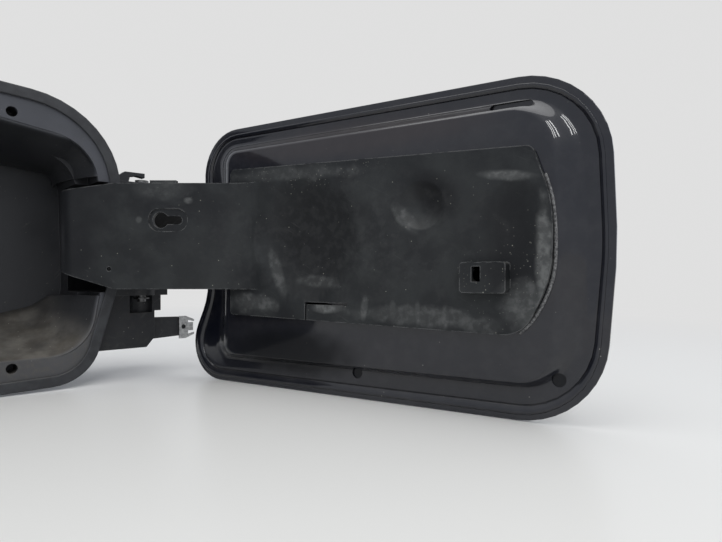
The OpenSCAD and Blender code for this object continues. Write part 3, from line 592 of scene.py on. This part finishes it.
# %% Pressing the sheet
SLOPE_RINGS = 12
panel_builder = bmesh.new()
ring = [panel_builder.verts.new(place) for place in ring_places(HEM, FOOT, 0.0, 0.0)]
loop = [panel_builder.edges.new(pair) for pair in zip(ring, ring[1:] + ring[:1])]
steps = [(HEM, FOOT, 0.5, 0.0), (HEM, FOOT, 0.9, 0.0)]
for step in range(1, SLOPE_RINGS + 1):
    share = step / SLOPE_RINGS
    steps.append((FOOT, TOP, share, (1 - math.cos(math.pi * share)) / 2))
for outer, inner, inwards, upwards in steps:
    grown = bmesh.ops.extrude_edge_only(panel_builder, edges=loop)["geom"]
    loop = [item for item in grown if isinstance(item, bmesh.types.BMEdge) and item.is_boundary]
    fresh = {item for item in grown if isinstance(item, bmesh.types.BMVert)}
    ring = [
        next(e.other_vert(vert) for e in vert.link_edges if e.other_vert(vert) in fresh)
        for vert in ring
    ]
    for vert, place in zip(ring, ring_places(outer, inner, inwards, upwards)):
        vert.co = place
bmesh.ops.contextual_create(panel_builder, geom=loop)
bmesh.ops.recalc_face_normals(panel_builder, faces=panel_builder.faces)
middle = max(panel_builder.faces, key=lambda face: face.calc_area())
if middle.normal.dot(on_flap(0, 1, 0) - on_flap(0, 0, 0)) < 0:
    bmesh.ops.reverse_faces(panel_builder, faces=panel_builder.faces)
panel = new_piece("inner_panel_pressed", panel_builder, smooth=True)
print("faces of the sheet", len(panel.data.polygons))

# %% [markdown]
# ## Holes in the panel
# The dish, the dimple and the lock pass through the field, and water leaves through two round
# holes and a slot. Cutters are taken out of the sheet with Boolean modifiers, which are
# applied at once so that the cutters can be removed.

# %% Helpers for holes
CUTTER_LENGTH = 40
CUTTER_DEPTH = -8


def upright_cutter(name, along, height, radius, stretch=0.0):
    """A cylinder through the flap, or a rounded slot where it is stretched."""
    builder = bmesh.new()
    bmesh.ops.create_cone(
        builder,
        cap_ends=True,
        segments=48,
        radius1=radius * MM,
        radius2=radius * MM,
        depth=CUTTER_LENGTH * MM,
    )
    for vert in builder.verts:
        vert.co.x += math.copysign(stretch * MM, vert.co.x)
    upright = Matrix.Rotation(math.radians(90), 3, "X")
    bmesh.ops.rotate(builder, verts=builder.verts, matrix=upright)
    shift = Vector((FLAP_EDGE_X - along * MM, CUTTER_DEPTH * MM, TABLE_Z + height * MM))
    bmesh.ops.translate(builder, verts=builder.verts, vec=shift)
    bmesh.ops.transform(builder, verts=builder.verts, matrix=TURN_OPEN)
    return new_piece(name, builder)


def final_mesh(piece):
    """A mesh of what an object's modifiers or curve settings make of it."""
    graph = bpy.context.evaluated_depsgraph_get()
    return bpy.data.meshes.new_from_object(piece.evaluated_get(graph))


# %% Thickness and holes
SHEET_THICKNESS = 0.8
HOLES = [
    ("dish_hole", 81, 82.5, 37.6, 0),
    ("dimple_hole", 149, 96, 14.6, 0),
    ("lock_hole", 177, 64, 8.5, 0),
    ("drain_hole_1", 109, 13, 3, 0),
    ("drain_hole_2", 209, 19, 3, 0),
    ("vent_slot", 189.2, 138.1, 1.8, 7.6),
]
sheet = panel.modifiers.new("sheet", "SOLIDIFY")
sheet.thickness = SHEET_THICKNESS * MM
sheet.offset = -1
cutters = [upright_cutter(*hole) for hole in HOLES]
for cutter in cutters:
    hole = panel.modifiers.new(cutter.name, "BOOLEAN")
    hole.operation = "DIFFERENCE"
    hole.solver = "EXACT"
    hole.object = cutter
panel.data = final_mesh(panel)
panel.modifiers.clear()
for cutter in cutters:
    bpy.data.objects.remove(cutter)
panel_normals = panel.modifiers.new("flat_faces", "WEIGHTED_NORMAL")
panel_normals.weight = FLAT_WEIGHT
panel_normals.keep_sharp = True
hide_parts("inner_panel")
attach(panel, "flap")
print("faces with holes", len(panel.data.polygons))

# %% [markdown]
# ## Seam sealer
# The skin's hem lies a little higher than the inner panel. A bead of sealer fills the corner
# between them and is painted over. Its section is a fillet that laps onto the hem, given as
# shares of the way from the hem to the slope's foot and heights over the gutter.

# %% Sealing the hem
SECTION = (
    (-0.17, 0.93),
    (-0.1, 1.05),
    (0.03, 1.03),
    (0.12, 0.78),
    (0.2, 0.42),
    (0.3, 0.04),
    (0.03, 0.04),
    (0.01, 0.92),
)
seam_builder = bmesh.new()
seam_rings = []
for inwards, raised in SECTION:
    places = [
        on_flap(along, gutter_depth(height) + raised, height)
        for along, height in rounded_outline(between(HEM, FOOT, inwards))
    ]
    ring = [seam_builder.verts.new(place) for place in places]
    pairs = zip(ring, ring[1:] + ring[:1])
    seam_rings.append([seam_builder.edges.new(pair) for pair in pairs])
for near, far in zip(seam_rings, seam_rings[1:] + seam_rings[:1]):
    bmesh.ops.bridge_loops(seam_builder, edges=near + far)
bmesh.ops.recalc_face_normals(seam_builder, faces=seam_builder.faces)
seam = new_piece("hem_sealer", seam_builder, smooth=True)
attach(seam, "flap")
print("faces of the seam", len(seam.data.polygons))

# %% [markdown]
# ## Smooth bowl walls
# The bowl's walls run smoothly from the flange down to the floor. Each wall is swept through
# rings: a ring goes up the hinge side, round the corner and along the bowl, and the rings move
# inwards as they go deeper. Below and above the arm's pocket there is one wall each.

# %% A swept wall
KEY_DEPTHS = (0.3, 20.0, 59.4)
RING_DEPTHS = (0.3, 1.5, 4, 8, 12, 16, 20, 26, 32, 38, 44, 50, 55, 59.4)
PATH_ARC = 10
PATH_RUN = 12
WALL_THICKNESS = 0.6
BOWL_MIDDLE = Vector((0.03, 0.03, 0.0))


def through(depth, values):
    """A value at some depth on the curve through its values at the key depths."""
    total = 0.0
    for index, value in enumerate(values):
        share = value
        for other, key in enumerate(KEY_DEPTHS):
            if other != index:
                share *= (depth - key) / (KEY_DEPTHS[index] - key)
        total += share
    return total


def open_path(corners):
    """Points along an open path of (x, z, radius) corners."""
    closed_path = rounded_outline([*corners, (0.0, 0.0, 1.0)], PATH_ARC, PATH_RUN)
    size = PATH_ARC + PATH_RUN
    start = PATH_ARC // 2
    return closed_path[start : size * (len(corners) - 1) + start]


def swept_wall(name, keyed_corners):
    """A wall through three keyed paths, given as lists of (x, z, radius)."""
    builder = bmesh.new()
    rows = []
    for depth in RING_DEPTHS:
        corners = [
            tuple(through(depth, values) for values in zip(*corner))
            for corner in zip(*keyed_corners)
        ]
        path = open_path(corners)
        rows.append([builder.verts.new((x * MM, depth * MM, z * MM)) for x, z in path])
    for near, deep in zip(rows, rows[1:]):
        edges = [
            builder.edges.get(pair) or builder.edges.new(pair)
            for row in (near, deep)
            for pair in zip(row, row[1:])
        ]
        bmesh.ops.bridge_loops(builder, edges=edges)
    bmesh.ops.recalc_face_normals(builder, faces=builder.faces)
    middle = builder.faces[len(builder.faces) // 2]
    if middle.normal.dot(BOWL_MIDDLE - middle.calc_center_median()) < 0:
        bmesh.ops.reverse_faces(builder, faces=builder.faces)
    piece = new_piece(name, builder, smooth=True)
    wall = piece.modifiers.new("wall", "SOLIDIFY")
    wall.thickness = WALL_THICKNESS * MM
    wall.offset = -1
    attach(piece, "pot")
    print(name, "faces", len(piece.data.polygons))
    return piece


# %% The two walls
low_wall = swept_wall(
    "bowl_low_wall",
    [
        [(117.2, -30.5, 0.5), (111.5, -64.1, 24), (-9, -64.2, 0.5)],
        [(110.0, -30.5, 0.5), (103.6, -58.0, 24), (-9, -63.2, 0.5)],
        [(104.0, -31.5, 0.5), (94.0, -38.0, 5), (-9, -62.4, 0.5)],
    ],
)
high_wall = swept_wall(
    "bowl_high_wall",
    [
        [(116.6, 39.0, 0.5), (116.1, 56.7, 14), (57.4, 65.6, 80), (-9, 65.6, 0.5)],
        [(108.9, 39.0, 0.5), (108.6, 49.4, 9), (50.4, 58.1, 60), (-9, 64.4, 0.5)],
        [(106.0, 39.0, 0.5), (105.0, 46.0, 5), (48.0, 53.0, 50), (-9, 58.6, 0.5)],
    ],
)

# %% [markdown]
# ## Edge bead
# A thin bead of sealant runs round the tip of the arm's tongue, where it lies on the panel.

# %% Laying the bead
BEAD_RADIUS = 0.8
BEAD_DEPTH = -4.2
BEAD = [
    (204.6, 106),
    (206.8, 100),
    (208.3, 92),
    (208.9, 82),
    (208.9, 72),
    (208.3, 64),
    (205.6, 55),
    (202, 48),
    (198.6, 42.6),
    (194, 38.6),
]
FINE_MERGE = 0.00001
bead_curve = bpy.data.curves.new("bead_path", "CURVE")
bead_curve.dimensions = "3D"
bead_curve.bevel_depth = BEAD_RADIUS * MM
bead_curve.bevel_resolution = 3
bead_curve.use_fill_caps = True
spline = bead_curve.splines.new("NURBS")
spline.points.add(len(BEAD) - 1)
spline.use_endpoint_u = True
for point, (along, height) in zip(spline.points, BEAD):
    point.co = (*on_flap(along, BEAD_DEPTH, height), 1.0)
bead_path = bpy.data.objects.new("bead_path", bead_curve)
bpy.context.scene.collection.objects.link(bead_path)
bead_builder = bmesh.new()
bead_builder.from_mesh(final_mesh(bead_path))
bpy.data.objects.remove(bead_path)
bmesh.ops.remove_doubles(bead_builder, verts=bead_builder.verts, dist=FINE_MERGE)
bmesh.ops.recalc_face_normals(bead_builder, faces=bead_builder.faces)
bead = new_piece("tip_bead", bead_builder, smooth=True)
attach(bead, "flap")
print("bead faces", len(bead.data.polygons))

# %% [markdown]
# ## The lock spring
# When the lock pin is pushed in, its spring gets shorter. Here a copy of the spring, its
# doubled points merged, rides on the pot in the original's place with a mesh of its own.

# %% The lock spring
spring_builder = bmesh.new()
spring_builder.from_mesh(nodes["lock_spring"].data)
bmesh.ops.remove_doubles(spring_builder, verts=spring_builder.verts, dist=FINE_MERGE)
spring = new_piece("lock_spring_coil", spring_builder, smooth=True)
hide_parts("lock_spring")
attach(spring, "pot")
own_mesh(spring)

# %% [markdown]
# ## Moulded black plastic
# The pot is a matt black moulding. Inside the bowl the splash of years has left a brownish
# dust that is thickest where the wall faces up. The flange's front carries a painted bluish
# sheen, and a painted shadow lies on the pot's front. The arm is the same plastic but handled
# more: smudged, scratched and scuffed at its tip, with painted shade in its hollows and painted
# highlights on its tip and edges.

# %% The pot's plastic and its dust
housing_plastic, tree, shader = new_material("housing_plastic")
places = use(tree, pot_places)
broad = use(tree, clouds, Places=places, Scale=0.018, Low=0.35, High=0.65)
fine = use(tree, clouds, Places=places, Scale=0.35, Low=0.45, High=0.7)
colour = tint(tree, broad, (0.009, 0.010, 0.0125, 1), (0.017, 0.018, 0.021, 1))
across, deep, up = parts_of(tree, places)
lower = rise(tree, up, -22.0, -52.0)
dust = use(tree, settled, Places=places, Scale=0.07)
dusty = times(tree, dust, blend_values(tree, lower, 0.12, 1.0))
film = times(tree, times(tree, lower, fine), 0.12)
dusty = most_of(tree, dusty, film)
cloudy = use(tree, clouds, Places=places, Scale=0.06, Low=0.35, High=0.65)
dirt = tint(tree, cloudy, (0.075, 0.067, 0.055, 1), (0.135, 0.126, 0.11, 1))
colour = tint(tree, dusty, colour, dirt)
grit = use(tree, specks, Places=places, Scale=0.35, Size=0.13, Share=0.3)
grit = times(tree, grit, blend_values(tree, lower, 0.35, 1.0))
colour = tint(tree, grit, colour, (0.34, 0.33, 0.29, 1))
print("nodes for the pot's dust", len(tree.nodes))

# %% The pot's front: painted sheen, painted shadow and wear
flange = rise(tree, deep, 3.5, 0.5)
beside = rise(tree, across, 131.0, 129.0, smooth=False)
flange = times(tree, flange, beside)
# Painted sheen: the flange's front is made paler and bluish where the broad clouds are.
painted_sheen = times(tree, flange, blend_values(tree, broad, 0.3, 0.46))
colour = tint(tree, painted_sheen, colour, (0.14, 0.147, 0.172, 1))
# A painted shadow: a near-black, fully rough spot.
shadow = use(
    tree, patch, Places=places, Centre=(159.0, 3.0, 16.0), Reach=(20.0, 6.0, 15.0), Ragged=0.0
)
colour = tint(tree, times(tree, shadow, 0.9), colour, (0.002, 0.002, 0.002, 1))
low_front = times(tree, times(tree, flange, lower), blend_values(tree, fine, 0.35, 0.7))
colour = tint(tree, low_front, colour, (0.085, 0.079, 0.068, 1))
# Rubbed edges, lightened as wear and as a painted edge highlight.
edges = use(tree, rubbed_and_highlit, Places=places, Amount=0.9)
colour = tint(tree, edges, colour, (0.05, 0.051, 0.054, 1))
lines = use(tree, scratches, Places=places, Turn=(0.4, 0.7, 0.3))
colour = tint(tree, times(tree, lines, 0.35), colour, (0.06, 0.06, 0.06, 1))
rough = blend_values(tree, broad, 0.42, 0.6)
rough = blend_values(tree, dusty, rough, 0.9)
rough = blend_values(tree, shadow, rough, 1.0)
relief = use(tree, grained, Places=places, Scale=1.3, Depth=0.00004)
join_up(tree, shader, colour, rough, relief)
print("nodes for the pot's plastic", len(tree.nodes))

# %% The arm's plastic and painted shade in its hollows
THROUGH_FLAP = 900.0


def spot(tree, places, centre, reach, ragged, turn=0.0):
    """A soft spot on the flap that reaches through its depth."""
    return use(
        tree,
        patch,
        Places=places,
        Centre=(*centre, 0.0),
        Reach=(*reach, THROUGH_FLAP),
        Ragged=ragged,
        Turn=turn,
    )


arm_plastic, tree, shader = new_material("arm_plastic")
places = use(tree, flap_places)
broad = use(tree, clouds, Places=places, Scale=0.02, Low=0.38, High=0.62)
fine = use(tree, clouds, Places=places, Scale=0.22, Low=0.42, High=0.66)
colour = tint(tree, broad, (0.0085, 0.0095, 0.0115, 1), (0.0135, 0.015, 0.0165, 1))
film = use(tree, clouds, Places=places, Scale=0.06, Low=0.36, High=0.68)
colour = tint(tree, times(tree, film, 0.085), colour, (0.16, 0.175, 0.17, 1))
# Painted shade: the scoop at the tongue's tip, the dish and the dimple are darkened to near black
# where shade falls in them.
scooped = spot(tree, places, (191.0, 80.0), (15.0, 38.0), 0.3)
dish = spot(tree, places, (86.0, 84.0), (40.0, 40.0), 0.25)
dimple = spot(tree, places, (155.0, 100.0), (13.0, 20.0), 0.3, -0.8)
painted_hollow_shade = most_of(tree, most_of(tree, dish, dimple), times(tree, scooped, 0.8))
colour = tint(tree, times(tree, painted_hollow_shade, 0.95), colour, (0.003, 0.0035, 0.005, 1))
along = parts_of(tree, places)["X"]
# Painted shade on the arm beyond the flap's hinge-side edge.
shaded = rise(tree, along, -18.0, -45.0)
colour = tint(tree, times(tree, shaded, 0.7), colour, (0.006, 0.0065, 0.0085, 1))
print("nodes for the arm's hollows", len(tree.nodes))

# %% [markdown]
# The pale spots on the arm are partly smears of haze and partly painted highlights: a sheen on
# the tongue's curled tip, a line along the top edge of the scoop and lit crescents at the lower
# left of the dimple and the dish. Each is given by its place, its reach, how ragged it is, how
# strong it is and how far it is turned.

# %% The arm's smears and painted highlights
SMEARS_AND_HIGHLIGHTS = [
    ((196.0, 50.0), (13.0, 14.0), 1.2, 0.5, 0.0),
    ((204.5, 70.0), (4.5, 30.0), 1.0, 0.75, 0.0),
    ((150.0, 44.0), (50.0, 6.5), 1.6, 0.4, 0.03),
    ((118.0, 47.0), (3.0, 8.0), 0.7, 0.5, 0.1),
    ((134.0, 46.0), (3.0, 7.0), 0.7, 0.5, 0.0),
    ((147.0, 45.0), (2.5, 8.0), 0.7, 0.55, 0.0),
    ((161.0, 44.0), (3.5, 7.0), 0.7, 0.5, 0.0),
    ((46.0, 48.0), (25.0, 7.0), 1.5, 0.45, 0.0),
    ((88.0, 60.0), (22.0, 5.0), 1.0, 0.35, 0.1),
    ((61.0, 65.0), (5.0, 21.0), 0.5, 0.42, -0.42),
    ((95.0, 46.5), (12.0, 3.5), 0.6, 0.85, 0.0),
    ((0.0, 113.0), (17.0, 9.0), 1.0, 0.22, 0.0),
    ((12.0, 106.0), (3.0, 2.5), 0.4, 0.5, 0.0),
    ((-12.0, 95.0), (2.0, 2.5), 0.4, 0.55, 0.0),
    ((140.5, 90.0), (5.0, 14.0), 0.5, 0.42, -0.75),
    ((100.0, 80.0), (110.0, 50.0), 1.2, 0.1, 0.0),
    ((75.0, 118.0), (60.0, 5.0), 1.4, 0.25, 0.05),
    ((189.0, 106.5), (15.0, 3.0), 0.6, 0.75, 0.12),
]
# Smears and painted highlights alike are laid on as a pale haze.
haze_and_highlights = 0.0
for centre, reach, ragged, amount, turn in SMEARS_AND_HIGHLIGHTS:
    pale_spot = spot(tree, places, centre, reach, ragged, turn)
    haze_and_highlights = most_of(tree, haze_and_highlights, times(tree, pale_spot, amount))
mottled = blend_values(tree, fine, 0.45, 1.0)
haze_and_highlights = times(tree, haze_and_highlights, mottled)
colour = tint(tree, haze_and_highlights, colour, (0.17, 0.175, 0.172, 1))
print("smears", len(SMEARS_AND_HIGHLIGHTS))

# %% The arm's dust, wear and painted edge highlights
coarse = use(tree, specks, Places=places, Scale=0.3, Size=0.11, Share=0.4)
bunched = use(tree, clouds, Places=places, Scale=0.05, Low=0.46, High=0.58)
coarse = times(tree, coarse, blend_values(tree, bunched, 0.15, 1.0))
small = use(tree, specks, Places=places, Scale=0.7, Size=0.22, Share=0.4)
small = times(tree, small, blend_values(tree, bunched, 0.3, 1.0))
top_edge = spot(tree, places, (80.0, 118.0), (62.0, 11.0), 0.8)
tip = spot(tree, places, (190.0, 60.0), (26.0, 34.0), 0.8)
grit = most_of(tree, coarse, times(tree, small, most_of(tree, top_edge, tip)))
colour = tint(tree, grit, colour, (0.42, 0.42, 0.36, 1))
lines = use(
    tree, scratches, Places=places, Turn=(0.0, 0.0, 0.5), Fineness=0.9, Threshold=0.66
)
colour = tint(tree, times(tree, lines, 0.2), colour, (0.09, 0.09, 0.09, 1))
# Rubbed edges, lightened as wear and as a painted edge highlight along the arm's edges.
edges = use(tree, rubbed_and_highlit, Places=places, Amount=2.2)
colour = tint(tree, edges, colour, (0.12, 0.122, 0.122, 1))
dust = use(tree, settled, Places=places, Scale=0.1)
colour = tint(tree, times(tree, dust, 0.6), colour, (0.11, 0.108, 0.1, 1))
rough = blend_values(tree, broad, 0.4, 0.52)
rough = blend_values(tree, haze_and_highlights, rough, 0.75)
rough = blend_values(tree, painted_hollow_shade, rough, 0.62)
shader.inputs["Specular IOR Level"].default_value = 0.26
relief = use(tree, grained, Places=places, Scale=0.9, Depth=0.00004)
join_up(tree, shader, colour, rough, relief)
print("nodes for the arm's plastic", len(tree.nodes))

# %% [markdown]
# ## Dark blue-black paint
# The flap is painted on both sides and covered with clear lacquer. A coat on the Principled
# shader gives the lacquer's sharp reflection over a softer paint below. Inside, the paint
# carries a thin film of dust, painted shade with a thinner lacquer low on the hinge side and
# behind the drain holes, a warmer tint along the top, and single grains.

# %% Paint and its film
dark_paint, tree, shader = new_material("dark_paint")
places = use(tree, flap_places)
broad = use(tree, clouds, Places=places, Scale=0.013, Low=0.35, High=0.65)
fine = use(tree, clouds, Places=places, Scale=0.16, Low=0.4, High=0.7)
colour = tint(tree, broad, (0.0035, 0.0045, 0.0095, 1), (0.010, 0.0105, 0.015, 1))
film = times(tree, blend_values(tree, fine, 0.15, 1.0), 0.04)
colour = tint(tree, film, colour, (0.16, 0.155, 0.15, 1))
print("nodes for the film", len(tree.nodes))

# %% Painted shade and a warm tint on the inner side
INWARDS = (-math.sin(OPEN), math.cos(OPEN), 0.0)
SHADED_HOLES = ((109.0, 13.0), (209.0, 19.0))
# Painted shade: the paint is darkened and its lacquer thinned in a broad spot low on the hinge side
# and on the skin seen through the drain holes.
painted_shade = spot(tree, places, (66.0, 22.0), (60.0, 17.0), 0.4)
own = put(tree, "ShaderNodeTexCoord").outputs["Normal"]
inner_side = rise(tree, work_out_vector(tree, "DOT_PRODUCT", own, INWARDS), 0.0, 0.2, smooth=False)
below = rise(tree, parts_of(tree, places)["Z"], -10.2, -10.6, smooth=False)
for centre in SHADED_HOLES:
    hole_shade = spot(tree, places, centre, (6.0, 6.0), 0.0)
    painted_shade = most_of(tree, painted_shade, times(tree, hole_shade, below))
painted_shade = times(tree, painted_shade, inner_side)
colour = tint(tree, times(tree, painted_shade, 0.85), colour, (0.003, 0.0035, 0.005, 1))
warm = spot(tree, places, (105.0, 134.0), (100.0, 13.0), 0.4)
warm = times(tree, times(tree, warm, inner_side), 0.5)
colour = tint(tree, warm, colour, (0.03, 0.022, 0.022, 1))
print("nodes for the grime", len(tree.nodes))

# %% Grains and lacquer
grit = use(tree, specks, Places=places, Scale=0.25, Size=0.09, Share=0.35)
bunched = use(tree, clouds, Places=places, Scale=0.04, Low=0.48, High=0.6)
grit = times(tree, grit, blend_values(tree, bunched, 0.1, 1.0))
colour = tint(tree, grit, colour, (0.3, 0.29, 0.26, 1))
dust = use(tree, settled, Places=places, Scale=0.12)
colour = tint(tree, times(tree, dust, 0.35), colour, (0.10, 0.098, 0.095, 1))
rough = blend_values(tree, broad, 0.3, 0.42)
shader.inputs["Specular IOR Level"].default_value = 0.12
tree.links.new(blend_values(tree, painted_shade, 1.0, 0.3), shader.inputs["Coat Weight"])
shader.inputs["Coat Roughness"].default_value = 0.06
relief = use(tree, grained, Places=places, Scale=0.25, Depth=0.00003)
join_up(tree, shader, colour, rough, relief)
print("nodes for the paint", len(tree.nodes))

# %% [markdown]
# ## Rubber, metals and light plastic
# The smaller parts share one recipe: two shades laid over each other in clouds, some dirt
# where the surface faces up, single grains and a fine relief.


# %% A recipe for the smaller parts
def small_finish(name, dark, pale, rough, metal=0.0, scale=0.2, dirt=0.3, depth=0.00003):
    """A finish of two shades with dirt, grains and a fine relief."""
    material, tree, shader = new_material(name)
    places = use(tree, pot_places)
    shade = use(tree, clouds, Places=places, Scale=scale, Low=0.35, High=0.65)
    colour = tint(tree, shade, (*dark, 1), (*pale, 1))
    dust = use(tree, settled, Places=places, Scale=0.2)
    colour = tint(tree, times(tree, dust, dirt), colour, (0.09, 0.085, 0.075, 1))
    grit = use(tree, specks, Places=places, Scale=0.7, Size=0.15, Share=0.15)
    colour = tint(tree, times(tree, grit, dirt), colour, (0.2, 0.19, 0.16, 1))
    shader.inputs["Metallic"].default_value = metal
    relief = use(tree, grained, Places=places, Scale=1.5, Depth=depth)
    join_up(tree, shader, colour, blend_values(tree, shade, *rough), relief)
    return material


# %% Rubber and plastics
rubber = small_finish(
    "seal_rubber", (0.02, 0.021, 0.024), (0.038, 0.04, 0.044), (0.5, 0.7), dirt=0.35
)
foam = small_finish(
    "gasket_foam",
    (0.02, 0.02, 0.02),
    (0.035, 0.035, 0.034),
    (0.8, 0.95),
    scale=0.8,
    depth=0.0002,
)
sealant = small_finish(
    "sealant",
    (0.03, 0.031, 0.033),
    (0.2, 0.2, 0.2),
    (0.45, 0.6),
    scale=1.1,
    dirt=0.6,
    depth=0.0001,
)
pale_plastic = small_finish(
    "light_plastic", (0.34, 0.33, 0.29), (0.5, 0.49, 0.45), (0.4, 0.55), scale=0.25, dirt=0.4
)
print("materials so far", len(bpy.data.materials))

# %% Metals
zinc = small_finish(
    "galvanised_sheet", (0.3, 0.3, 0.3), (0.55, 0.55, 0.54), (0.35, 0.55), 0.7, 0.5, 0.4
)
steel = small_finish(
    "pin_steel", (0.10, 0.10, 0.10), (0.2, 0.2, 0.2), (0.35, 0.55), 1.0, 0.4, 0.5
)
spring_steel = small_finish(
    "spring_steel", (0.06, 0.06, 0.06), (0.14, 0.14, 0.14), (0.3, 0.5), 1.0, 0.4, 0.4
)
can = small_finish(
    "motor_can", (0.35, 0.35, 0.34), (0.5, 0.5, 0.49), (0.25, 0.4), 1.0, 0.3, 0.1
)
brass = small_finish(
    "contact_brass", (0.42, 0.3, 0.12), (0.6, 0.46, 0.22), (0.25, 0.4), 1.0, 0.5, 0.1
)
print("materials", len(bpy.data.materials))

# %% Dressing every piece
for material, pieces in (
    (housing_plastic, (pot, low_wall, high_wall, case, cover)),
    (arm_plastic, (arm,)),
    (dark_paint, (panel, skin, seam)),
    (zinc, (clip,)),
    (sealant, (bead,)),
    (rubber, (seal, nodes["neck_seal"], nodes["lock_seal"])),
    (foam, (nodes["actuator_gasket"],)),
    (steel, (nodes["hinge_pin"], nodes["actuator_screws"])),
    (spring_steel, (spring, nodes["pin_clip"], nodes["flap_spring"])),
    (brass, (nodes["terminals"],)),
    (can, (nodes["lock_motor"],)),
    (pale_plastic, (nodes["lock_sleeve"], nodes["lock_pin"])),
):
    for piece in pieces:
        piece.data.materials.clear()
        piece.data.materials.append(material)
    print(material.name, "on", [piece.name for piece in pieces])
